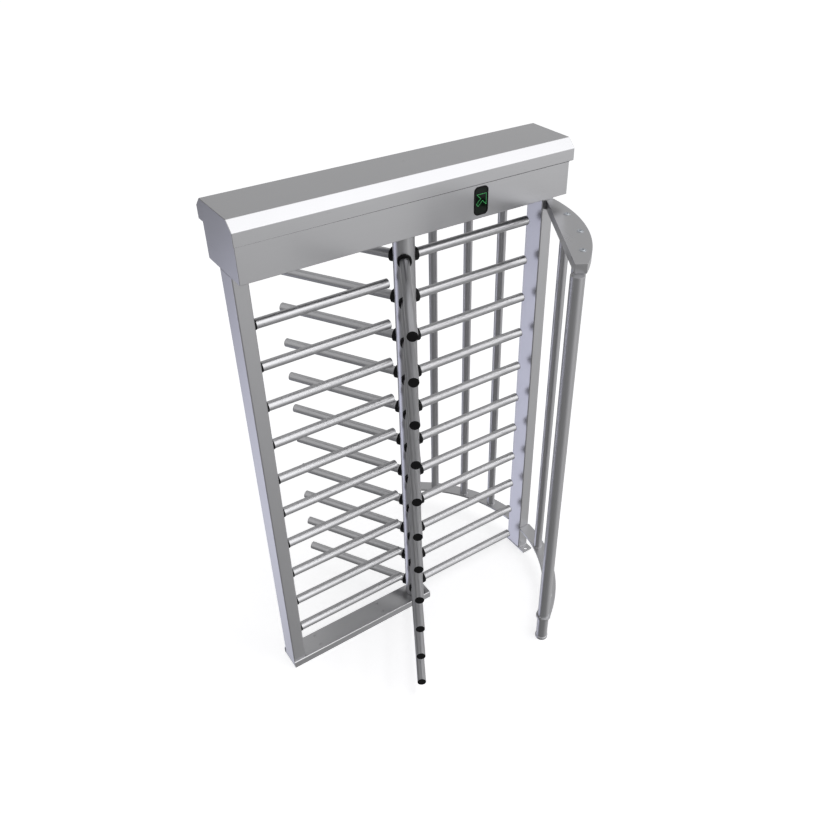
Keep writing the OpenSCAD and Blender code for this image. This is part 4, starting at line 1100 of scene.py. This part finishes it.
class TURNSTILE_OT_rings(bpy.types.Operator):
    """Cuts the guide's lower rings and top segments, one in front of and one behind the right post"""

    bl_idname = "turnstile.rings"
    bl_label = "Guide rings"

    def execute(self, context):
        s = sizes()
        for name, node, slot, outline in (
                ("guide_ring_pair", "guide_rings", "stainless_tube", self.ring_outline()),
                ("guide_top_pair", "guide_tops", "stainless_sheet", self.top_outline())):
            low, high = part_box(node)
            both = [slab([(x, side * y) for x, y in outline], low.z, high.z) for side in (1, -1)]
            pair = raw_piece(lay_grain(joined(both), 1), name)
            if node == "guide_rings":
                x, y = s.end_r * math.cos(s.guide_end), s.end_r * math.sin(s.guide_end)
                cut(pair, [rod(s.end_post_r, low.z - OVERRUN, high.z + OVERRUN,
                               Matrix.Translation((x, side * y, 0))) for side in (1, -1)])
            soften(pair, s.plate_edge, 2, 50)
            add(pair, "frame", slot, [node])
        return {"FINISHED"}

    def arc(self, radius, start, end):
        """Points on a circle round the rotor's axis, from one angle to another."""
        steps = 48
        return [(radius * math.cos(start + (end - start) * k / steps),
                 radius * math.sin(start + (end - start) * k / steps)) for k in range(steps + 1)]

    def ring_outline(self):
        """A flat ring from the post's face to a round end about the end post."""
        s = sizes()
        face = -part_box("right_post")[0].y
        boss = s.ring_w / 2 + s.ring_boss
        outer, inner = s.ring_r, s.ring_r - s.ring_w
        middle = Vector((s.end_r * math.cos(s.guide_end), -s.end_r * math.sin(s.guide_end)))
        meets = []
        for radius in (outer, inner):
            away = math.acos((radius ** 2 + s.end_r ** 2 - boss ** 2) / (2 * radius * s.end_r))
            meets.append(-s.guide_end + away)
        points = self.arc(outer, -math.asin(face / outer), meets[0])
        start, end = (math.atan2(*(Vector(self.arc(r, a, a)[0]) - middle).yx)
                      for r, a in zip((outer, inner), meets))
        sweep = (end - start) % math.tau - math.tau
        points += [middle + Vector((boss * math.cos(start + sweep * k / 24),
                                    boss * math.sin(start + sweep * k / 24))) for k in range(1, 24)]
        return points + self.arc(inner, meets[1], -math.asin(face / inner))

    def top_outline(self):
        """A segment with an outer arc and a straight inner edge, square at its free end."""
        s = sizes()
        face = -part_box("right_post")[0].y
        chord = s.top_r - s.top_w
        end = s.end_r * math.sin(s.guide_end - s.top_turn) - s.top_short
        lean = Matrix.Rotation(-s.top_turn, 2)
        first = -math.asin(end / s.top_r)
        last = s.top_turn - math.asin(face / s.top_r)
        across = (chord * math.sin(s.top_turn) - face) / math.cos(s.top_turn)
        local = [(chord, -end), *self.arc(s.top_r, first, last), (chord, across)]
        return [lean @ Vector(point) for point in local]


class TURNSTILE_OT_guide_tubes(bpy.types.Operator):
    """Stands the guide's upright tubes, its end posts and their floor flanges"""

    bl_idname = "turnstile.guide_tubes"
    bl_label = "Guide tubes and end posts"

    def execute(self, context):
        s = sizes()
        low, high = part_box("guide_tubes")
        last = last_guide()
        mirrored = Matrix.Rotation(s.guide_first + last, 4, "Z") @ Matrix.Translation((s.guide_r, 0, 0))
        inner = s.guide_tube_r - s.tube_t
        outline = rounded([(s.guide_tube_r, low.z), (s.guide_tube_r, high.z), (inner, high.z),
                           (inner, low.z)], s.rim, 2)
        near = lathe(outline, Matrix.Translation((s.guide_r, 0, 0)), loop=True)
        tubes = raw_piece(joined([near, lathe(outline, mirrored, loop=True)]), "guide_tube_pairs")
        repeat(tubes, "stainless_tube", turns=s.guides, first=-last, turn_step=s.guide_step)
        add(tubes, "frame", "stainless_tube", ["guide_tubes"])
        at_end = Matrix.Translation((s.end_r, 0, 0))
        low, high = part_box("end_posts")
        inner, under = s.end_post_r - s.end_t, high.z - s.end_t
        outline = rounded([(0, under), (inner, under), (inner, low.z), (s.end_post_r, low.z),
                           (s.end_post_r, high.z), (0, high.z)], [0, 0, s.rim, s.rim, s.rim, 0], 2)
        ends = raw_piece(lathe(outline, at_end), "end_post_pair")
        repeat(ends, "stainless_tube", turns=2, first=-s.guide_end, turn_step=2 * s.guide_end)
        add(ends, "frame", "stainless_tube", ["end_posts"])
        low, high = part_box("end_flanges")
        wide = high.x - s.end_r * math.cos(s.guide_end)
        outline = rounded([(0, low.z), (wide, low.z), (wide, high.z), (0, high.z)],
                          [0, 0, s.plate_edge, 0])
        flanges = raw_piece(lathe(outline, at_end), "end_flange_pair")
        repeat(flanges, "stainless_tube", turns=2, first=-s.guide_end, turn_step=2 * s.guide_end)
        add(flanges, "frame", "stainless_tube", ["end_flanges"])
        return {"FINISHED"}


class TURNSTILE_OT_guide_screws(bpy.types.Operator):
    """Sets the screws that hold the top segments on the guide tubes"""

    bl_idname = "turnstile.guide_screws"
    bl_label = "Guide screws"

    def execute(self, context):
        s = sizes()
        low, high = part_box("guide_screws")
        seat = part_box("guide_tops")[1].z
        last = last_guide()
        radius = high.x - s.guide_r * math.cos(s.guide_first)
        places = [Matrix.Rotation(angle, 4, "Z") @ Matrix.Translation((s.guide_r, 0, seat))
                  for angle in (0, s.guide_first + last)]
        heads = raw_piece(joined([screw(radius, high.z - seat, s.screw_r, seat - low.z, place)
                                  for place in places]), "guide_screw_pairs")
        repeat(heads, "zinc_fasteners", turns=s.guides, first=-last, turn_step=s.guide_step)
        add(heads, "frame", "zinc_fasteners", ["guide_screws"])
        self.lay_washers(radius, seat, s.guide_first + last)
        return {"FINISHED"}

    def lay_washers(self, inner, seat, across):
        """A washer round the foot of every screw's head."""
        s = sizes()
        top = seat + s.washer_t
        outline = rounded([(s.washer_r, seat), (s.washer_r, top), (inner, top), (inner, seat)],
                          [0, s.washer_t / 2, 0, 0], 3)
        rings = [lathe(outline, Matrix.Rotation(angle, 4, "Z") @ Matrix.Translation((s.guide_r, 0, 0)),
                       loop=True) for angle in (0, across)]
        washers = raw_piece(joined(rings), "guide_washer_pairs")
        repeat(washers, "zinc_fasteners", turns=s.guides, first=s.guide_first - across,
               turn_step=s.guide_step)
        add(washers, "frame", "zinc_fasteners")


class TURNSTILE_OT_welds(bpy.types.Operator):
    """Runs weld beads round the guide tubes, the end posts and the foot of the right post"""

    bl_idname = "turnstile.welds"
    bl_label = "Weld beads"

    def execute(self, context):
        s = sizes()
        ring_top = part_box("guide_rings")[1].z
        flange_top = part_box("end_flanges")[1].z
        paths = []
        for side in (1, -1):
            for k in range(s.guides):
                spin = Matrix.Rotation(side * (last_guide() - k * s.guide_step), 4, "Z")
                paths.append(circle(s.guide_tube_r, spin @ Matrix.Translation((s.guide_r, 0, ring_top))))
            spin = Matrix.Rotation(side * s.guide_end, 4, "Z")
            paths += [circle(s.end_post_r, spin @ Matrix.Translation((s.end_r, 0, level)))
                      for level in (ring_top, flange_top)]
        low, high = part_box("right_post")
        paths.append([(x, y, low.z) for x, y in rounded(footprint(low, high), s.post_r)])
        beads = raw_piece(wire(paths), "weld_beads")
        grow(beads, rippled_bead, "stainless_tube", Radius=s.bead_r, Ripple=s.bead_pitch)
        add(beads, "frame", "stainless_tube")
        return {"FINISHED"}


class TURNSTILE_OT_mechanism(bpy.types.Operator):
    """Finishes every piece of the frame that is shown as it is"""

    bl_idname = "turnstile.mechanism"
    bl_label = "Mechanism's finishes"

    def execute(self, context):
        for part in frame["record"]["subparts"]:
            node = frame["nodes"][part["node"]]
            if not node.hide_render:
                node.data.materials.clear()
                node.data.materials.append(finish(part["material_slot"]))
        return {"FINISHED"}


class TURNSTILE_OT_stage(bpy.types.Operator):
    """Sets the floor, the world, the lamp and the camera"""

    bl_idname = "turnstile.stage"
    bl_label = "Stage"

    def execute(self, context):
        self.lay_floor()
        self.light_world(context.scene)
        self.hang_lamp("softbox_over_front", place=(1.45, -1.2, 4.6), aim=(0.0, 0.0, 2.2),
                       extent=(3.4, 1.4), power=36.0)
        self.set_camera(context.scene)
        context.scene.view_settings.view_transform = "Standard"
        return {"FINISHED"}

    def lay_floor(self):
        """A wide pale floor that looks white where nothing shades it."""
        half = 40.0
        floor = raw_piece(shell([(-half, -half, 0), (half, -half, 0), (half, half, 0), (-half, half, 0)],
                                [range(4)]), "studio_floor")
        material = bpy.data.materials.new("painted_studio_floor")
        material.use_nodes = True
        tree = material.node_tree
        tree.nodes.clear()
        spots = add_node(tree, "ShaderNodeTexCoord")
        dust = add_node(tree, "ShaderNodeTexNoise", {
            "Vector": spots.outputs["Object"], "Scale": 3.0, "Detail": 4.0})
        shade = add_node(tree, "ShaderNodeMapRange", {
            "Value": dust.outputs["Fac"], "To Min": 0.98, "To Max": 1.0})
        paint = add_node(tree, "ShaderNodeVectorMath", {
            0: colours().floor[:3], "Scale": shade.outputs["Result"]}, operation="SCALE")
        matte = add_node(tree, "ShaderNodeBsdfDiffuse", {"Color": paint.outputs["Vector"]})
        seen = self.seen(tree)
        glow = add_node(tree, "ShaderNodeMath", {0: seen, 1: FLOOR_GLOW}, operation="MULTIPLY")
        light = add_node(tree, "ShaderNodeEmission", {"Strength": glow.outputs["Value"]})
        both = add_node(tree, "ShaderNodeAddShader", {0: matte.outputs["BSDF"], 1: light.outputs["Emission"]})
        add_node(tree, "ShaderNodeOutputMaterial", {"Surface": both.outputs["Shader"]})
        floor.data.materials.append(material)
        floor.visible_glossy = False

    def seen(self, tree):
        """One where the camera sees a surface, straight or through glass, and else zero."""
        path = add_node(tree, "ShaderNodeLightPath")
        return add_node(tree, "ShaderNodeMath", {
            0: path.outputs["Is Camera Ray"], 1: path.outputs["Is Transmission Ray"]},
            operation="MAXIMUM").outputs["Value"]

    def light_world(self, scene):
        """Even soft light and a white background. Metal shows that background with soft cards on it:
        a bright one high at the front right, a dark one low on the left, a cool bright one behind that,
        and two grey ones at the back."""
        scene.world = bpy.data.worlds.new("studio")
        scene.world.use_nodes = True
        scene.world.cycles.sampling_method = "NONE"
        tree = scene.world.node_tree
        tree.nodes.clear()
        shown = (1.0, 1.0, 1.0)
        for card in CARDS:
            shown = self.card(tree, shown, *card)
        strength = add_node(tree, "ShaderNodeMapRange", {
            "Value": self.seen(tree), "To Min": DULL_LIGHT, "To Max": 1.0})
        even = add_node(tree, "ShaderNodeBackground", {
            "Color": (1.0, 1.0, 1.0, 1.0), "Strength": strength.outputs["Result"]})
        mirrored = add_node(tree, "ShaderNodeBackground", {"Color": shown})
        path = add_node(tree, "ShaderNodeLightPath")
        both = add_node(tree, "ShaderNodeMixShader", {
            0: path.outputs["Is Glossy Ray"], 1: even.outputs["Background"],
            2: mirrored.outputs["Background"]})
        add_node(tree, "ShaderNodeOutputWorld", {"Surface": both.outputs["Shader"]})

    def card(self, tree, light, azimuth, elevation, reach, strength, code="#FFFFFF"):
        """Adds a soft-edged card round a heading to what metal reflects. Below zero it takes light away."""
        around, up = math.radians(azimuth), math.radians(elevation)
        heading = (math.cos(around) * math.cos(up), math.sin(around) * math.cos(up), math.sin(up))
        spots = add_node(tree, "ShaderNodeTexCoord")
        near = add_node(tree, "ShaderNodeVectorMath", {
            0: spots.outputs["Generated"], 1: heading}, operation="DOT_PRODUCT")
        edge = add_node(tree, "ShaderNodeMapRange", {
            "Value": near.outputs["Value"], "From Min": math.cos(math.radians(reach)),
            "From Max": math.cos(math.radians(0.4 * reach))}, interpolation_type="SMOOTHSTEP")
        return add_node(tree, "ShaderNodeVectorMath", {
            0: edge.outputs["Result"], 1: [strength * share for share in linear(code)[:3]], 2: light},
            operation="MULTIPLY_ADD").outputs["Vector"]

    def hang_lamp(self, name, place, aim, extent, power):
        """A softbox that looks at a point, for the floor's shadow and for dull surfaces."""
        light = bpy.data.lights.new(name, "AREA")
        light.shape = "RECTANGLE"
        light.size, light.size_y = extent
        light.energy = power
        lamp = bpy.data.objects.new(name, light)
        lamp.location = place
        lamp.rotation_euler = (Vector(aim) - Vector(place)).to_track_quat("-Z", "Y").to_euler()
        lamp.visible_camera = False
        lamp.visible_glossy = False
        bpy.context.scene.collection.objects.link(lamp)

    def set_camera(self, scene):
        """The photograph's view: from the front left, looking down."""
        view = bpy.data.cameras.new("photo_view")
        view.sensor_width = 36.0
        view.lens = 36.71
        view.shift_x, view.shift_y = -0.0479, -0.0034
        camera = bpy.data.objects.new("photo_view", view)
        camera.location = (-1.58285, -2.54942, 3.35303)
        camera.rotation_euler = (math.radians(54.7), 0.0, math.radians(-34.99))
        scene.collection.objects.link(camera)
        scene.camera = camera


STEPS = (
    TURNSTILE_OT_header, TURNSTILE_OT_lid, TURNSTILE_OT_display, TURNSTILE_OT_posts, TURNSTILE_OT_base,
    TURNSTILE_OT_comb, TURNSTILE_OT_column, TURNSTILE_OT_wings, TURNSTILE_OT_rings,
    TURNSTILE_OT_guide_tubes, TURNSTILE_OT_guide_screws, TURNSTILE_OT_welds, TURNSTILE_OT_mechanism,
    TURNSTILE_OT_stage)


class TURNSTILE_PT_steps(bpy.types.Panel):
    """Lists the turnstile's steps, sizes and colours"""

    bl_idname = "TURNSTILE_PT_steps"
    bl_label = "Turnstile"
    bl_space_type = "VIEW_3D"
    bl_region_type = "UI"
    bl_category = "Turnstile"

    def draw(self, context):
        for step in STEPS:
            self.layout.operator(step.bl_idname)
        for title, group in (("Sizes", sizes()), ("Colours", colours())):
            box = self.layout.box()
            box.label(text=title)
            for name in group.__annotations__:
                box.prop(group, name)


CLASSES = (TurnstileSizes, TurnstileColours, *STEPS, TURNSTILE_PT_steps)


def register():
    """Makes the classes known, and gives the scene its sizes and colours."""
    for cls in CLASSES:
        bpy.utils.register_class(cls)
    bpy.types.Scene.turnstile_sizes = PointerProperty(type=TurnstileSizes)
    bpy.types.Scene.turnstile_colours = PointerProperty(type=TurnstileColours)


def unregister():
    """Takes the classes and the scene's sizes and colours away."""
    del bpy.types.Scene.turnstile_colours
    del bpy.types.Scene.turnstile_sizes
    for cls in reversed(CLASSES):
        bpy.utils.unregister_class(cls)


def main():
    """Builds the turnstile step by step."""
    register()
    for step in STEPS:
        getattr(bpy.ops.turnstile, step.bl_idname.split(".")[1])()


if __name__ == "__main__":
    main()
